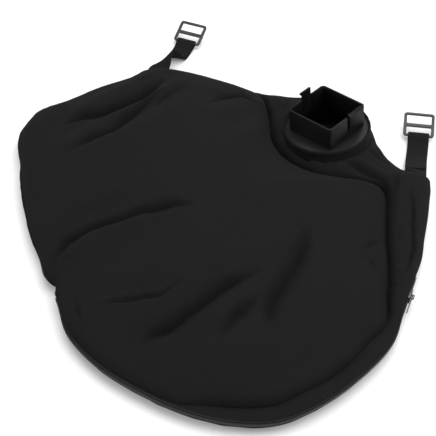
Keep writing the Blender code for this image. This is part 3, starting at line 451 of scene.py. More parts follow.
def new_mesh(name, bm):
    """A mesh made from a bmesh, which is freed."""
    mesh = bpy.data.meshes.new(name)
    bm.to_mesh(mesh)
    bm.free()
    return mesh


def add_piece(name, bm, material, node, body="bag"):
    """Turn a bmesh into a smooth-shaded piece that rides on its body and stands for a CAD node."""
    mesh = new_mesh(name, bm)
    mesh.materials.append(material)
    mesh.shade_smooth()
    obj = new_object(name, mesh)
    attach(obj, body)
    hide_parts(node)
    return obj


def loops_sheet(loops):
    """A tube-like open sheet through closed loops of points, and its first and last edges."""
    bm = bmesh.new()
    bm.verts.layers.float.new("loose")
    # a layer for the cloth's painted shade in creases and seam valleys
    bm.verts.layers.float.new("shade")
    bmesh.ops.create_circle(bm, segments=len(loops[0]), radius=1.0)
    ring = list(bm.verts)
    rings = [ring]
    first = last = list(bm.edges)
    for vert, point in zip(ring, loops[0]):
        vert.co = point
    for loop in loops[1:]:
        made = bmesh.ops.extrude_edge_only(bm, edges=last)["geom"]
        fresh = {item for item in made if isinstance(item, bmesh.types.BMVert)}
        last = [item for item in made if isinstance(item, bmesh.types.BMEdge)
                and item.verts[0] in fresh and item.verts[1] in fresh]
        ring = [next(edge.other_vert(vert) for edge in vert.link_edges if edge.other_vert(vert) in fresh)
                for vert in ring]
        for vert, point in zip(ring, loop):
            vert.co = point
        rings.append(ring)
    return bm, rings, first, last


def unwrap(bm, places):
    """Give every face corner the cloth's own coordinates of its vertex."""
    layer = bm.loops.layers.uv.new("UVMap")
    for face in bm.faces:
        for loop in face.loops:
            loop[layer].uv = places[loop.vert]


def turn_outwards(bm, outward):
    """Turn a sheet over if it looks away from the outward direction."""
    bmesh.ops.recalc_face_normals(bm, faces=bm.faces)
    score = sum(face.normal.dot(outward(face.calc_center_median())) * face.calc_area() for face in bm.faces)
    if score < 0:
        bmesh.ops.reverse_faces(bm, faces=bm.faces)


def thicken(obj, thickness):
    """Wall on the inner side of a sheet."""
    wall = obj.modifiers.new("wall", 'SOLIDIFY')
    wall.thickness = thickness
    wall.offset = -1.0


def refine(obj):
    """Give a sheet a mesh twice as fine."""
    finer = obj.modifiers.new("finer", 'SUBSURF')
    finer.levels = 1
    finer.render_levels = 1
    made = bpy.data.meshes.new_from_object(obj.evaluated_get(bpy.context.evaluated_depsgraph_get()))
    obj.modifiers.remove(finer)
    rough = obj.data
    name = rough.name
    obj.data = made
    bpy.data.meshes.remove(rough)
    made.name = name


def read_values(items, key, width=1):
    """One property of every item, as one row of numbers."""
    values = np.empty(len(items) * width)
    items.foreach_get(key, values)
    return values


def crease(obj, creases, seed):
    """Press creases into a sheet where its loose share lets them, and add painted shade along them to its shade
    attribute.
    """
    places = read_values(obj.data.vertices, "co", 3).reshape(-1, 3)
    loose = read_values(obj.data.attributes["loose"].data, "value")
    pressed = loose * crease_heights(places[:, :2], creases, seed)
    places[:, 2] += pressed
    obj.data.vertices.foreach_set("co", places.ravel())
    # painted shade: the deeper a crease is pressed, the darker the cloth's colour there
    shade = read_values(obj.data.attributes["shade"].data, "value")
    shade = np.clip(np.maximum(shade, 0.8 * np.clip(-pressed / 0.010, 0, 1) ** 0.7), 0, 1)
    obj.data.attributes["shade"].data.foreach_set("value", shade)
    obj.data.update()


def smoothed(shift, mesh):
    """Shifts of a mesh's vertices, evened out along its edges."""
    ends = np.empty(len(mesh.edges) * 2, dtype=int)
    mesh.edges.foreach_get("vertices", ends)
    ends = ends.reshape(-1, 2)
    count = np.bincount(ends.ravel(), minlength=len(shift))[:, None]
    for _ in range(3):
        near = np.zeros_like(shift)
        np.add.at(near, ends[:, 0], shift[ends[:, 1]])
        np.add.at(near, ends[:, 1], shift[ends[:, 0]])
        shift = 0.4 * shift + 0.6 * near / count
    return shift


def crumple(obj, shape, cap):
    """Let the cloth crumple: it grows by a small excess and settles on a form just under it."""
    start = read_values(obj.data.vertices, "co", 3)
    form_mesh = obj.data.copy()
    lowered = start.reshape(-1, 3).copy()
    lowered[:, 2] -= FORM_CLEARANCE
    form_mesh.vertices.foreach_set("co", lowered.ravel())
    form = new_object("form", form_mesh)
    form.modifiers.new("collision", 'COLLISION')
    form.collision.thickness_outer = 0.001
    form.collision.cloth_friction = 12

    group = obj.vertex_groups.new(name="pinned")
    for index in np.flatnonzero(border_flags(obj.data)):
        group.add([int(index)], 1.0, 'REPLACE')
    cloth = obj.modifiers.new("cloth", 'CLOTH')
    for key, value in CLOTH_SETTINGS.items():
        setattr(cloth.settings, key, value)
    cloth.settings.vertex_group_mass = "pinned"
    cloth.settings.shrink_min = -shape.excess
    cloth.settings.shrink_max = -shape.excess
    cloth.collision_settings.distance_min = 0.001
    cloth.collision_settings.use_collision = True
    cloth.collision_settings.collision_quality = 2
    cloth.point_cache.frame_start = 1
    cloth.point_cache.frame_end = shape.frames
    scene = bpy.context.scene
    for number in range(1, shape.frames + 1):
        scene.frame_set(number)
    settled = obj.evaluated_get(bpy.context.evaluated_depsgraph_get()).data
    moved = read_values(settled.vertices, "co", 3)
    scene.frame_set(1)
    obj.modifiers.remove(cloth)
    bpy.data.objects.remove(form, do_unlink=True)
    shift = smoothed((moved - start).reshape(-1, 3), obj.data)
    size = np.linalg.norm(shift, axis=1)
    kept = cap * np.tanh(size / cap) / np.maximum(size, 1e-9)
    obj.data.vertices.foreach_set("co", (start.reshape(-1, 3) + shift * kept[:, None]).ravel())
    obj.vertex_groups.clear()
    obj.data.update()


# Materials


def node_group(name, inputs, outputs):
    """An empty shader node group with named sockets."""
    group = bpy.data.node_groups.new(name, 'ShaderNodeTree')
    for label, kind, value in inputs:
        socket = group.interface.new_socket(label, in_out='INPUT', socket_type=kind)
        if value is not None:
            socket.default_value = value
    for label, kind in outputs:
        group.interface.new_socket(label, in_out='OUTPUT', socket_type=kind)
    return group, group.nodes.new('NodeGroupInput'), group.nodes.new('NodeGroupOutput')


def maths(tree, operation, *values):
    """A Math node fed by sockets or numbers; gives back its output."""
    node = tree.nodes.new('ShaderNodeMath')
    node.operation = operation
    for index, value in enumerate(values):
        if hasattr(value, "is_linked"):
            tree.links.new(value, node.inputs[index])
        else:
            node.inputs[index].default_value = value
    return node.outputs[0]


def feed(tree, node, **values):
    """Set or link a node's inputs; an underscore in a name stands for a space."""
    for label, value in values.items():
        socket = node.inputs[label.replace("_", " ")]
        if hasattr(value, "is_linked"):
            tree.links.new(value, socket)
        else:
            socket.default_value = value
    return node


def add_node(tree, kind, **values):
    """A new node with its inputs set or linked."""
    return feed(tree, tree.nodes.new(kind), **values)


def weave_group():
    """Plain weave from a cloth's own coordinates: thread heights and a thread-to-thread tone."""
    group, given, made = node_group(
        "plain_weave",
        (("Vector", 'NodeSocketVector', None), ("Pitch", 'NodeSocketFloat', 0.0006),
         ("Rib", 'NodeSocketFloat', 1.0)),
        (("Height", 'NodeSocketFloat'), ("Tone", 'NodeSocketFloat')))
    split = add_node(group, 'ShaderNodeSeparateXYZ', Vector=given.outputs["Vector"])
    turns = maths(group, 'DIVIDE', math.pi, given.outputs["Pitch"])
    ribbed = maths(group, 'MULTIPLY', turns, given.outputs["Rib"])
    along = maths(group, 'SINE', maths(group, 'MULTIPLY', split.outputs[0], turns))
    across = maths(group, 'SINE', maths(group, 'MULTIPLY', split.outputs[1], ribbed))
    product = maths(group, 'MULTIPLY', along, across)
    height = maths(group, 'POWER', maths(group, 'ABSOLUTE', product), 0.6)
    threads = add_node(group, 'ShaderNodeTexNoise', Scale=260, Detail=3, Vector=given.outputs["Vector"])
    tone = maths(group, 'ADD', maths(group, 'MULTIPLY', height, 0.5), threads.outputs["Fac"])
    feed(group, made, Height=height, Tone=tone)
    return group


def blotch_group():
    """Soft patches of lighter and darker colour, as on handled cloth and plastic."""
    group, given, made = node_group(
        "soft_patches",
        (("Vector", 'NodeSocketVector', None), ("Scale", 'NodeSocketFloat', 9.0)),
        (("Mask", 'NodeSocketFloat'), ("Fine", 'NodeSocketFloat')))
    source = given.outputs["Vector"]
    broad = add_node(group, 'ShaderNodeTexNoise', Detail=4, Roughness=0.6, Vector=source, Scale=given.outputs["Scale"])
    fine = add_node(group, 'ShaderNodeTexNoise', Scale=420, Detail=4, Vector=source)
    spread = add_node(group, 'ShaderNodeMapRange', From_Min=0.3, From_Max=0.7, Value=broad.outputs["Fac"])
    feed(group, made, Mask=spread.outputs["Result"], Fine=fine.outputs["Fac"])
    return group


def tinted(colour, share):
    """A colour made lighter or darker, with its alpha."""
    return (*[min(1.0, value * share) for value in colour], 1.0)


def ramp(tree, factor, low, high):
    """Mix of two colours, given as values or sockets, by a factor."""
    mix = tree.nodes.new('ShaderNodeMix')
    mix.data_type = 'RGBA'
    return feed(tree, mix, Factor=factor, A=low, B=high).outputs["Result"]


def place_group(tree, group, **values):
    """Put a node group into a material and set its inputs."""
    node = tree.nodes.new('ShaderNodeGroup')
    node.node_tree = group
    return feed(tree, node, **values)


def map_range(tree, value, low, high):
    """A factor spread between two values."""
    return add_node(tree, 'ShaderNodeMapRange', Value=value, To_Min=low, To_Max=high).outputs["Result"]


def new_material(name, roughness, specular, metallic=0.0, sheen=0.0):
    """A material with a Principled BSDF whose constants sit on its own sockets."""
    material = bpy.data.materials.new(name)
    material.use_nodes = True
    tree = material.node_tree
    shader = tree.nodes["Principled BSDF"]
    shader.inputs["Roughness"].default_value = roughness
    shader.inputs["Specular IOR Level"].default_value = specular
    shader.inputs["Metallic"].default_value = metallic
    shader.inputs["Sheen Weight"].default_value = sheen
    shader.inputs["Sheen Roughness"].default_value = 0.45
    return material, tree, shader


def bump(tree, shader, height, strength, distance):
    """Bump on a shader's normal."""
    node = add_node(tree, 'ShaderNodeBump', Strength=strength, Distance=distance, Height=height)
    feed(tree, shader, Normal=node.outputs["Normal"])


def woven_material(name, colour, pitch, rib, groups, coordinates='UV', relief=0.00025, paints_shade=False):
    """Woven cloth or webbing: threads, soft patches and, where it paints shade, painted shade in creases and seam
    valleys.
    """
    material, tree, shader = new_material(name, 0.85, 0.04, sheen=0.02)
    source = tree.nodes.new('ShaderNodeTexCoord').outputs[coordinates]
    weave = place_group(tree, groups["weave"], Vector=source, Pitch=pitch, Rib=rib)
    patches = place_group(tree, groups["patches"], Vector=source, Scale=9.0)
    tone = maths(tree, 'MULTIPLY', weave.outputs["Tone"], map_range(tree, patches.outputs["Mask"], 0.55, 0.8))
    base = ramp(tree, tone, tinted(colour, 0.72), tinted(colour, 1.45))
    if paints_shade:
        # painted shade: the colour is mixed toward near-black by the shade attribute, darkening creases and seam
        # valleys
        depth = tree.nodes.new('ShaderNodeAttribute')
        depth.attribute_name = "shade"
        base = ramp(tree, maths(tree, 'MULTIPLY', depth.outputs["Fac"], 0.72), base, tinted(colour, 0.12))
    feed(tree, shader, Base_Color=base, Roughness=map_range(tree, patches.outputs["Mask"], 0.80, 0.92))
    bump(tree, shader, weave.outputs["Height"], 0.6, relief)
    return material


def moulded_material(name, colour, roughness, groups, metallic=0.0, grain=0.00005, specular=0.5):
    """Moulded plastic or painted metal: fine grain and slightly uneven gloss."""
    material, tree, shader = new_material(name, roughness, specular, metallic)
    source = tree.nodes.new('ShaderNodeTexCoord').outputs["Object"]
    patches = place_group(tree, groups["patches"], Vector=source, Scale=22.0)
    base = ramp(tree, patches.outputs["Mask"], tinted(colour, 0.85), tinted(colour, 1.2))
    gloss = map_range(tree, patches.outputs["Fine"], roughness - 0.07, roughness + 0.09)
    feed(tree, shader, Base_Color=base, Roughness=gloss)
    bump(tree, shader, patches.outputs["Fine"], 0.5, grain)
    return material


def make_materials(looks):
    """Every finish of the bag, kept by name."""
    groups = {"weave": weave_group(), "patches": blotch_group()}
    cloth = tuple(looks.cloth_colour)
    webbing = tuple(looks.webbing_colour)
    tape = tuple(looks.tape_colour)
    plastic = tuple(looks.plastic_colour)
    return {
        # the bag's cloth carries painted shade in its creases and seam valleys
        "cloth": woven_material("bag_cloth", cloth, 0.0009, 1.0, groups, paints_shade=True),
        "hem": woven_material("hem_cloth", cloth, 0.0009, 1.0, groups),
        "webbing": woven_material("webbing", webbing, 0.0011, 0.5, groups, relief=0.0004),
        "tape": woven_material("zip_tape", tape, 0.0007, 1.0, groups, coordinates='Object'),
        "thread": woven_material("thread", webbing, 0.0005, 1.0, groups, coordinates='Object'),
        "connector": moulded_material("inlet_plastic", tuple(looks.inlet_colour), 0.42, groups, specular=0.25),
        "buckle": moulded_material("buckle_plastic", plastic, 0.42, groups),
        "nylon": moulded_material("zip_nylon", tape, 0.5, groups),
        "metal": moulded_material("zip_metal", (0.09, 0.09, 0.092), 0.36, groups, metallic=0.85),
    }


MATERIALS = {}


# Settings


class CB_PG_shape(PropertyGroup):
    """How the cloth lies."""
    excess: FloatProperty(name="Excess cloth", description="Share by which the cloth is larger than its form",
                          default=0.014, min=0.0, max=0.08)
    frames: IntProperty(name="Settling frames", description="Steps that the cloth is given to settle",
                        default=20, min=4)
    cap: FloatProperty(name="Largest wrinkle", description="How far a point of the cloth may move as it settles",
                       default=0.005, unit='LENGTH')
    cloth_thickness: FloatProperty(name="Cloth", description="Thickness of the cloth", default=0.0008, unit='LENGTH')
    grid: FloatProperty(name="Cloth grid", description="Spacing of the top panel's grid before it is made finer",
                        default=0.0052, unit='LENGTH')


class CB_PG_looks(PropertyGroup):
    """Colours of the bag and its stage."""
    cloth_colour: FloatVectorProperty(name="Cloth", description="Colour of the bag's cloth", subtype='COLOR',
                                      default=(0.0094, 0.0098, 0.0095), min=0, max=1)
    webbing_colour: FloatVectorProperty(name="Webbing", description="Colour of the straps", subtype='COLOR',
                                        default=(0.0118, 0.0122, 0.0119), min=0, max=1)
    tape_colour: FloatVectorProperty(name="Zip", description="Colour of the zip's tapes and turns", subtype='COLOR',
                                     default=(0.040, 0.041, 0.040), min=0, max=1)
    plastic_colour: FloatVectorProperty(name="Buckles", description="Colour of the slide buckles", subtype='COLOR',
                                        default=(0.018, 0.019, 0.0185), min=0, max=1)
    inlet_colour: FloatVectorProperty(name="Inlet", description="Colour of the inlet moulding", subtype='COLOR',
                                      default=(0.0030, 0.0032, 0.0031), min=0, max=1)
    floor_colour: FloatVectorProperty(name="Floor", description="Colour of the floor", subtype='COLOR',
                                      default=(0.86, 0.86, 0.86), min=0, max=1)


# Cloth panels


def snap_to_seam(verts):
    """Move vertices in plan onto the seam, each in its own direction from the panel's middle."""
    for vert in verts:
        angle = math.atan2(vert.co.y, vert.co.x)
        reach = float(seam_radius(np.array([angle]))[0])
        vert.co.x = reach * math.cos(angle)
        vert.co.y = reach * math.sin(angle)


def seam_grid(spacing):
    """A flat grid cut to the seam, with its border smoothly on it."""
    low = SEAM_LINE.min(axis=0) - 0.01
    high = SEAM_LINE.max(axis=0) + 0.01
    counts = [int(size / spacing) for size in high - low]
    bm = bmesh.new()
    bmesh.ops.create_grid(bm, x_segments=counts[0], y_segments=counts[1], size=0.5)
    for vert in bm.verts:
        vert.co.x = low[0] + (vert.co.x + 0.5) * (high[0] - low[0])
        vert.co.y = low[1] + (vert.co.y + 0.5) * (high[1] - low[1])
    centres = np.array([face.calc_center_median()[:2] for face in bm.faces])
    share = np.hypot(centres[:, 0], centres[:, 1]) / seam_radius(np.arctan2(centres[:, 1], centres[:, 0]))
    outside = [face for face, value in zip(list(bm.faces), share) if value > 0.997]
    bmesh.ops.delete(bm, geom=outside, context='FACES')
    border = [vert for vert in bm.verts if vert.is_boundary]
    for _ in range(2):
        snap_to_seam(border)
        bmesh.ops.smooth_vert(bm, verts=border, factor=0.4, use_axis_x=True, use_axis_y=True, use_axis_z=False)
    inner = {edge.other_vert(vert) for vert in border for edge in vert.link_edges} - set(border)
    for _ in range(3):
        bmesh.ops.smooth_vert(bm, verts=list(inner), factor=0.5, use_axis_x=True, use_axis_y=True, use_axis_z=False)
    snap_to_seam(border)
    return bm


def make_top_cloth(shape):
    """Top panel: a grid cut to the seam, crowned and folded, then crumpled."""
    bm = seam_grid(shape.grid)
    plan = np.array([vert.co[:2] for vert in bm.verts])
    loose = bm.verts.layers.float.new("loose")
    shade = bm.verts.layers.float.new("shade")
    # each vertex keeps its loose share and the painted shade beside the seam
    for vert, point, free, dark in zip(bm.verts, *panel_points(plan)):
        vert.co = point
        vert[loose] = free
        vert[shade] = dark
    unwrap(bm, {vert: vert.co.xy.copy() for vert in bm.verts})
    turn_outwards(bm, lambda point: Vector((0, 0, 1)))
    obj = add_piece("top_cloth", bm, MATERIALS["cloth"], "top_panel")
    crumple(obj, shape, shape.cap)
    refine(obj)
    crease(obj, CREASES, 31.0)
    tuck_border(obj, SEAM_TUCK)
    thicken(obj, shape.cloth_thickness)
    return obj


def border_flags(mesh):
    """For each vertex, whether it is on the sheet's border."""
    uses = np.zeros(len(mesh.edges), dtype=int)
    for polygon in mesh.polygons:
        for key in polygon.loop_indices:
            uses[mesh.loops[key].edge_index] += 1
    flags = np.zeros(len(mesh.vertices), dtype=bool)
    for edge, count in zip(mesh.edges, uses):
        if count == 1:
            flags[edge.vertices[0]] = True
            flags[edge.vertices[1]] = True
    return flags


def tuck_border(obj, depth):
    """Turn the border of a sheet down into its seam."""
    bm = bmesh.new()
    bm.from_mesh(obj.data)
    edges = [edge for edge in bm.edges if edge.is_boundary]
    made = bmesh.ops.extrude_edge_only(bm, edges=edges)["geom"]
    for vert in made:
        if isinstance(vert, bmesh.types.BMVert):
            vert.co.z -= depth
    bm.to_mesh(obj.data)
    bm.free()


def pucker(lengths, seed, wave=0.017):
    """Small waves along a sewn line, uneven and without a fixed beat."""
    values = []
    for length in lengths:
        here = length + 0.006 * wander((length, 0, 0), 0.05, seed)
        strength = 0.5 + 0.5 * wander((length, 1, 0), 0.11, seed)
        values.append(strength * math.sin(2 * math.pi * here / wave))
    return np.array(values)


def open_neck(bm):
    """Cut the hole for the inlet's spigot and bring its rim to the cuff's radius."""
    axis = INLET_FRAME.to_3x3() @ Vector((0, 0, 1))
    base = Vector(INLET_AT)

    def split(point):
        height = (point - base).dot(axis)
        return base + axis * height, point - base - axis * height

    hole = [face for face in bm.faces if split(face.calc_center_median())[1].length < CUFF_RADIUS]
    bmesh.ops.delete(bm, geom=hole, context='FACES')
    for vert in bm.verts:
        middle, across = split(vert.co)
        if vert.is_boundary and across.length < CUFF_RADIUS + 0.012:
            vert.co = middle + across.normalized() * CUFF_RADIUS


def make_gusset_cloth(shape):
    """Gusset: loops from the top seam to the zip, open round the neck, puckered at its seams."""
    made = [gusset_points(STATIONS, share) for share in GUSSET_SHARES]
    loops, free, dark = [list(values) for values in zip(*made)]
    ripple = pucker(STATIONS, 1.0, 0.029)
    second = pucker(STATIONS, 2.0, 0.043)
    for share, loop in zip(GUSSET_SHARES, loops):
        near_zip = math.exp(-((1 - share) / 0.35) ** 2)
        near_seam = math.exp(-(share / 0.3) ** 2)
        loop[:, 2] += (0.0006 * ripple * near_zip * (1 - near_zip * 0.6)
                       + 0.0010 * second * near_seam * min(1, share * 8))
    tuck = loops[0].copy()
    tuck[:, 2] -= SEAM_TUCK
    bm, rings, _, _ = loops_sheet([tuck] + loops)
    loose = bm.verts.layers.float["loose"]
    shade = bm.verts.layers.float["shade"]
    places = {}
    steps = np.linalg.norm(np.diff([tuck] + loops, axis=0), axis=2)
    runs = np.vstack((np.zeros(len(STATIONS)), np.cumsum(steps, axis=0)))
    # each vertex keeps its loose share and the painted shade beside the seam
    for ring, run, shares_here, darks in zip(rings, runs, [free[0]] + free, [dark[0]] + dark):
        for vert, length, far, share, seam_shade_here in zip(ring, STATIONS, run, shares_here, darks):
            places[vert] = (length, far)
            vert[loose] = share
            vert[shade] = seam_shade_here
    unwrap(bm, places)
    open_neck(bm)
    turn_outwards(bm, lambda point: Vector((point.x, point.y, 0.3)))
    obj = add_piece("gusset_cloth", bm, MATERIALS["cloth"], "side_gusset")
    crumple(obj, shape, shape.cap * 0.6)
    refine(obj)
    crease(obj, GUSSET_CREASES, 41.0)
    thicken(obj, shape.cloth_thickness)
    return obj


def make_bottom_cloth(shape):
    """Bottom panel: flat on the floor, with its edge turned up to the zip."""
    points, outward, _ = dressed_edge(STATIONS)
    top = EDGE_HEIGHT - half_opening(STATIONS)
    ripple = pucker(STATIONS, 3.0, 0.029)
    slow = pucker(STATIONS, 4.0, 0.041)
    loops = []
    for turn in range(0, 91, 10):
        angle = math.radians(turn)
        inset = TURN_UP * (1 - math.cos(angle))
        height = shape.cloth_thickness + (top - shape.cloth_thickness) * (1 - math.sin(angle))
        swell = math.sin(2 * angle)
        inset = inset + (0.0009 * slow + 0.0006 * ripple) * swell
        loop = points - outward * np.reshape(inset, (-1, 1))
        loops.append(np.column_stack((loop, height)))
    for extra in (0.006, 0.016):
        heights = np.full(len(points), shape.cloth_thickness)
        loops.append(np.column_stack((points - outward * (TURN_UP + extra), heights)))
    bm, rings, _, last = loops_sheet(loops)
    bmesh.ops.edgeloop_fill(bm, edges=last)
    places = {}
    for index, ring in enumerate(rings):
        for vert, length in zip(ring, STATIONS):
            places[vert] = (length, 0.004 * index)
    unwrap(bm, places)
    turn_outwards(bm, lambda point: Vector((point.x, point.y, -0.3)))
    obj = add_piece("bottom_cloth", bm, MATERIALS["cloth"], "bottom_panel")
    thicken(obj, shape.cloth_thickness)
    return obj


def make_cuff():
    """Hem round the inlet's collar: a padded roll above, gathered below."""
    bm = bmesh.new()
    verts = [bm.verts.new((radius, 0, height)) for radius, height in CUFF_PROFILE]
    edges = [bm.edges.new((verts[index - 1], verts[index])) for index in range(len(verts))]
    bmesh.ops.spin(bm, geom=verts + edges, cent=(0, 0, 0), axis=(0, 0, 1), angle=2 * math.pi, steps=180,
                   use_merge=True)
    bmesh.ops.remove_doubles(bm, verts=bm.verts, dist=0.00001)
    places = {}
    for vert in bm.verts:
        angle = math.atan2(vert.co.y, vert.co.x)
        radius = math.hypot(vert.co.x, vert.co.y)
        places[vert] = (angle * 0.066, vert.co.z * 1.5)
        if radius > 0.0625:
            strength = 0.5 + 0.5 * wander((math.cos(angle), math.sin(angle), 0), 0.5, 5.0)
            low = smooth_step((-0.004 - vert.co.z) / 0.01)
            wave = math.sin(38 * angle + 3 * wander((math.cos(angle), math.sin(angle), 1), 0.4, 6.0))
            shift = 0.0006 * low * strength * wave + 0.0002 * wave * (1 - low)
            vert.co.x += shift * math.cos(angle)
            vert.co.y += shift * math.sin(angle)
    unwrap(bm, places)
    bmesh.ops.recalc_face_normals(bm, faces=bm.faces)
    bmesh.ops.transform(bm, matrix=INLET_FRAME, verts=bm.verts)
    obj = add_piece("cuff_cloth", bm, MATERIALS["hem"], "neck_cuff")
    return obj


# Copies of CAD nodes with softened edges


def soften_node(node, name, material, body, width, angle=35):
    """A merged copy of a CAD node, its flat faces joined and its edges bevelled."""
    bm = bmesh.new()
    bm.from_mesh(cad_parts[node].data)
    bmesh.ops.remove_doubles(bm, verts=bm.verts, dist=0.000005)
    bmesh.ops.dissolve_limit(bm, angle_limit=math.radians(0.6), verts=bm.verts, edges=bm.edges)
    bm.faces.ensure_lookup_table()
    obj = add_piece(name, bm, material, node, body)
    edges = obj.modifiers.new("edges", 'BEVEL')
    edges.width = width
    edges.segments = 2
    edges.limit_method = 'ANGLE'
    edges.angle_limit = math.radians(angle)
    edges.harden_normals = True
    return obj


def paint_node(node, material):
    """Give a CAD node its finish."""
    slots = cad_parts[node].data.materials
    slots.clear()
    slots.append(MATERIALS[material])


# Zip coils


def coil_half_gap(from_end):
    """Half the gap between the coils, at distances from the zip's front end."""
    closed = smooth_step((from_end - FORK_START) / (FORK_END - FORK_START))
    return OPEN_HALF_GAP + (CLOSED_HALF_GAP - OPEN_HALF_GAP) * closed


def make_coil(side, label):
    """One side of the zip: turns of nylon along the tape, those of the two sides in mesh."""
    pattern = bmesh.new()
    bmesh.ops.create_cube(pattern, size=1.0)
    bmesh.ops.bevel(pattern, geom=list(pattern.edges), offset=0.24, segments=1, profile=0.5, affect='EDGES',
                    material=-1)
    turn = new_mesh("turn", pattern)
    length = ZIP_FRONT - ZIP_REAR - 2 * COIL_START
    count = int(length / COIL_PITCH)
    from_end = COIL_START + (np.arange(count) + (0.25 if side > 0 else 0.75)) * COIL_PITCH
    points, outward, along = edge_frames(ZIP_FRONT - from_end)
    gaps = coil_half_gap(from_end)
    bm = bmesh.new()
    for point, out, run, gap in zip(points, outward, along, gaps):
        near = gap - 0.0004
        far = gap + COIL_WIDTH
        middle = side * (near + far) / 2
        frame_matrix = Matrix((
            (out[0], run[0], 0, point[0] + out[0] * (COIL_BASE + COIL_THICKNESS / 2)),
            (out[1], run[1], 0, point[1] + out[1] * (COIL_BASE + COIL_THICKNESS / 2)),
            (0, 0, 1, EDGE_HEIGHT + middle),
            (0, 0, 0, 1)))
        size = Matrix.Diagonal((COIL_THICKNESS, COIL_PITCH * 0.62, far - near, 1))
        before = len(bm.verts)
        bm.from_mesh(turn)
        bm.verts.ensure_lookup_table()
        bmesh.ops.transform(bm, matrix=frame_matrix @ size, verts=bm.verts[before:])
    bpy.data.meshes.remove(turn)
    return add_piece(f"zip_turns_{label}", bm, MATERIALS["nylon"], f"zip_coil_{label}")


# Straps


def strap_path(length, lap):
    """Side view of a strap: run out, down, round the buckle's bar and back over itself."""
    loop = BUCKLE_BAR / 2 * math.sqrt(2) + LOOP_CLEARANCE + WEBBING / 2
    floor = WEBBING / 2 + STRAP_FLOOR_GAP
    lowest = 0.66 * length

    def run(at):
        fall = smooth_step(at / lowest)
        rise = smooth_step((at - lowest) / (length - lowest))
        return EDGE_HEIGHT + (floor - EDGE_HEIGHT) * fall + (BUCKLE_BAR_HEIGHT - loop - floor) * rise

    points = [(at, run(at)) for at in np.linspace(0, length, 57)]
    for step in range(1, 24):
        angle = -math.pi / 2 + math.pi * step / 24
        points.append((length + loop * math.cos(angle), BUCKLE_BAR_HEIGHT + loop * math.sin(angle)))
    for step in range(33):
        back = length - lap * step / 32
        spread = smooth_step(1 - (length - back) / 0.017)
        near = run(back) + (WEBBING + SEAM_GAP) * 1.15
        points.append((back, near + (BUCKLE_BAR_HEIGHT + loop - near) * spread))
    return [(float(at), float(height)) for at, height in points]


def strap_frames(strap):
    """Frames along a strap: point, across, normal and running length."""
    matrix = Matrix.Rotation(strap["heading"], 4, 'Z')
    matrix.translation = (*strap["root"], 0)
    points = strap_path(strap["length"], strap["lap"])
    free = strap["length"] - strap["lap"]
    frames = []
    run = 0.0
    for index, (along, height) in enumerate(points):
        before = Vector(points[max(0, index - 1)])
        after = Vector(points[min(len(points) - 1, index + 1)])
        direction = (after - before).normalized()
        normal = Vector((-direction.y, 0, direction.x))
        twist = 0.0
        if index < 57 and along < free:
            twist = strap["twist"] * math.sin(math.pi * along / free) ** 2
        across = Vector((0, 1, 0))
        if index < 57:
            across.x = strap["skew"] * (1 - float(smooth_step(3 * along / strap["length"])))
        turned_across = across * math.cos(twist) + normal * math.sin(twist)
        turned_normal = normal * math.cos(twist) - across * math.sin(twist)
        lift = abs(math.sin(twist)) * WEBBING_WIDTH / 2
        aside = strap["aside"] * (1 - float(smooth_step(1.1 * along / strap["length"])))
        origin = matrix @ Vector((along, aside, height + lift))
        if index:
            run += (after - before).length / 2
        frames.append((origin, matrix.to_3x3() @ turned_across, matrix.to_3x3() @ turned_normal, run))
    return frames


def make_strap(label, strap):
    """Webbing swept along its path, with selvedge edges."""
    half = WEBBING_WIDTH / 2
    thick = WEBBING / 2
    row = (-1, -0.96, -0.8, -0.4, 0, 0.4, 0.8, 0.96, 1)
    section = [(across * half, side * thick * (0.45 if abs(across) == 1 else 1.0))
               for side, order in ((-1, row), (1, row[::-1])) for across in order]
    loops = []
    runs = []
    length = 0.0
    for origin, across, normal, run in strap_frames(strap):
        length = max(length, run)
        loops.append([origin + across * a + normal * b for a, b in section])
        runs.append(run)
    bm, rings, first, last = loops_sheet(loops)
    bmesh.ops.edgeloop_fill(bm, edges=first)
    bmesh.ops.edgeloop_fill(bm, edges=last)
    places = {}
    for ring, run in zip(rings, runs):
        for vert, (across, _) in zip(ring, section):
            places[vert] = (run, across)
    unwrap(bm, places)
    bmesh.ops.recalc_face_normals(bm, faces=bm.faces)
    obj = add_piece(f"webbing_{label}", bm, MATERIALS["webbing"], f"strap_{label}")
    return obj


# Stage


def lay_floor(colour):
    """A wide plain floor, a little brighter where the camera sees it."""
    bm = bmesh.new()
    bmesh.ops.create_grid(bm, x_segments=1, y_segments=1, size=6.0)
    bmesh.ops.translate(bm, vec=(0, 0, -0.0006), verts=bm.verts)
    floor = new_object("floor", new_mesh("floor", bm))
    material, tree, shader = new_material("floor", 0.9, 0.1)
    shader.inputs["Base Color"].default_value = (*colour, 1.0)
    path = tree.nodes.new('ShaderNodeLightPath')
    seen = maths(tree, 'MULTIPLY', path.outputs["Is Camera Ray"], 0.12)
    glow = add_node(tree, 'ShaderNodeEmission', Color=(1, 1, 1, 1), Strength=seen)
    both = tree.nodes.new('ShaderNodeAddShader')
    tree.links.new(shader.outputs[0], both.inputs[0])
    tree.links.new(glow.outputs[0], both.inputs[1])
    feed(tree, tree.nodes["Material Output"], Surface=both.outputs[0])
    floor.data.materials.append(material)


def light_room(scene):
    """A pale world, brighter where the camera sees it."""
    world = bpy.data.worlds.new("studio")
    scene.world = world
    world.use_nodes = True
    tree = world.node_tree
    path = tree.nodes.new('ShaderNodeLightPath')
    strength = maths(tree, 'MULTIPLY_ADD', path.outputs["Is Camera Ray"], 0.65, 0.35)
    feed(tree, tree.nodes["Background"], Color=(1, 1, 1, 1), Strength=strength)


def place_lamp(name, place, size, power):
    """A square lamp that looks at the bag."""
    light = bpy.data.lights.new(name, 'AREA')
    light.shape = 'SQUARE'
    light.size = size
    light.energy = power
    lamp = new_object(name, light)
    lamp.location = place
    lamp.rotation_euler = (-Vector(place)).to_track_quat('-Z', 'Y').to_euler()


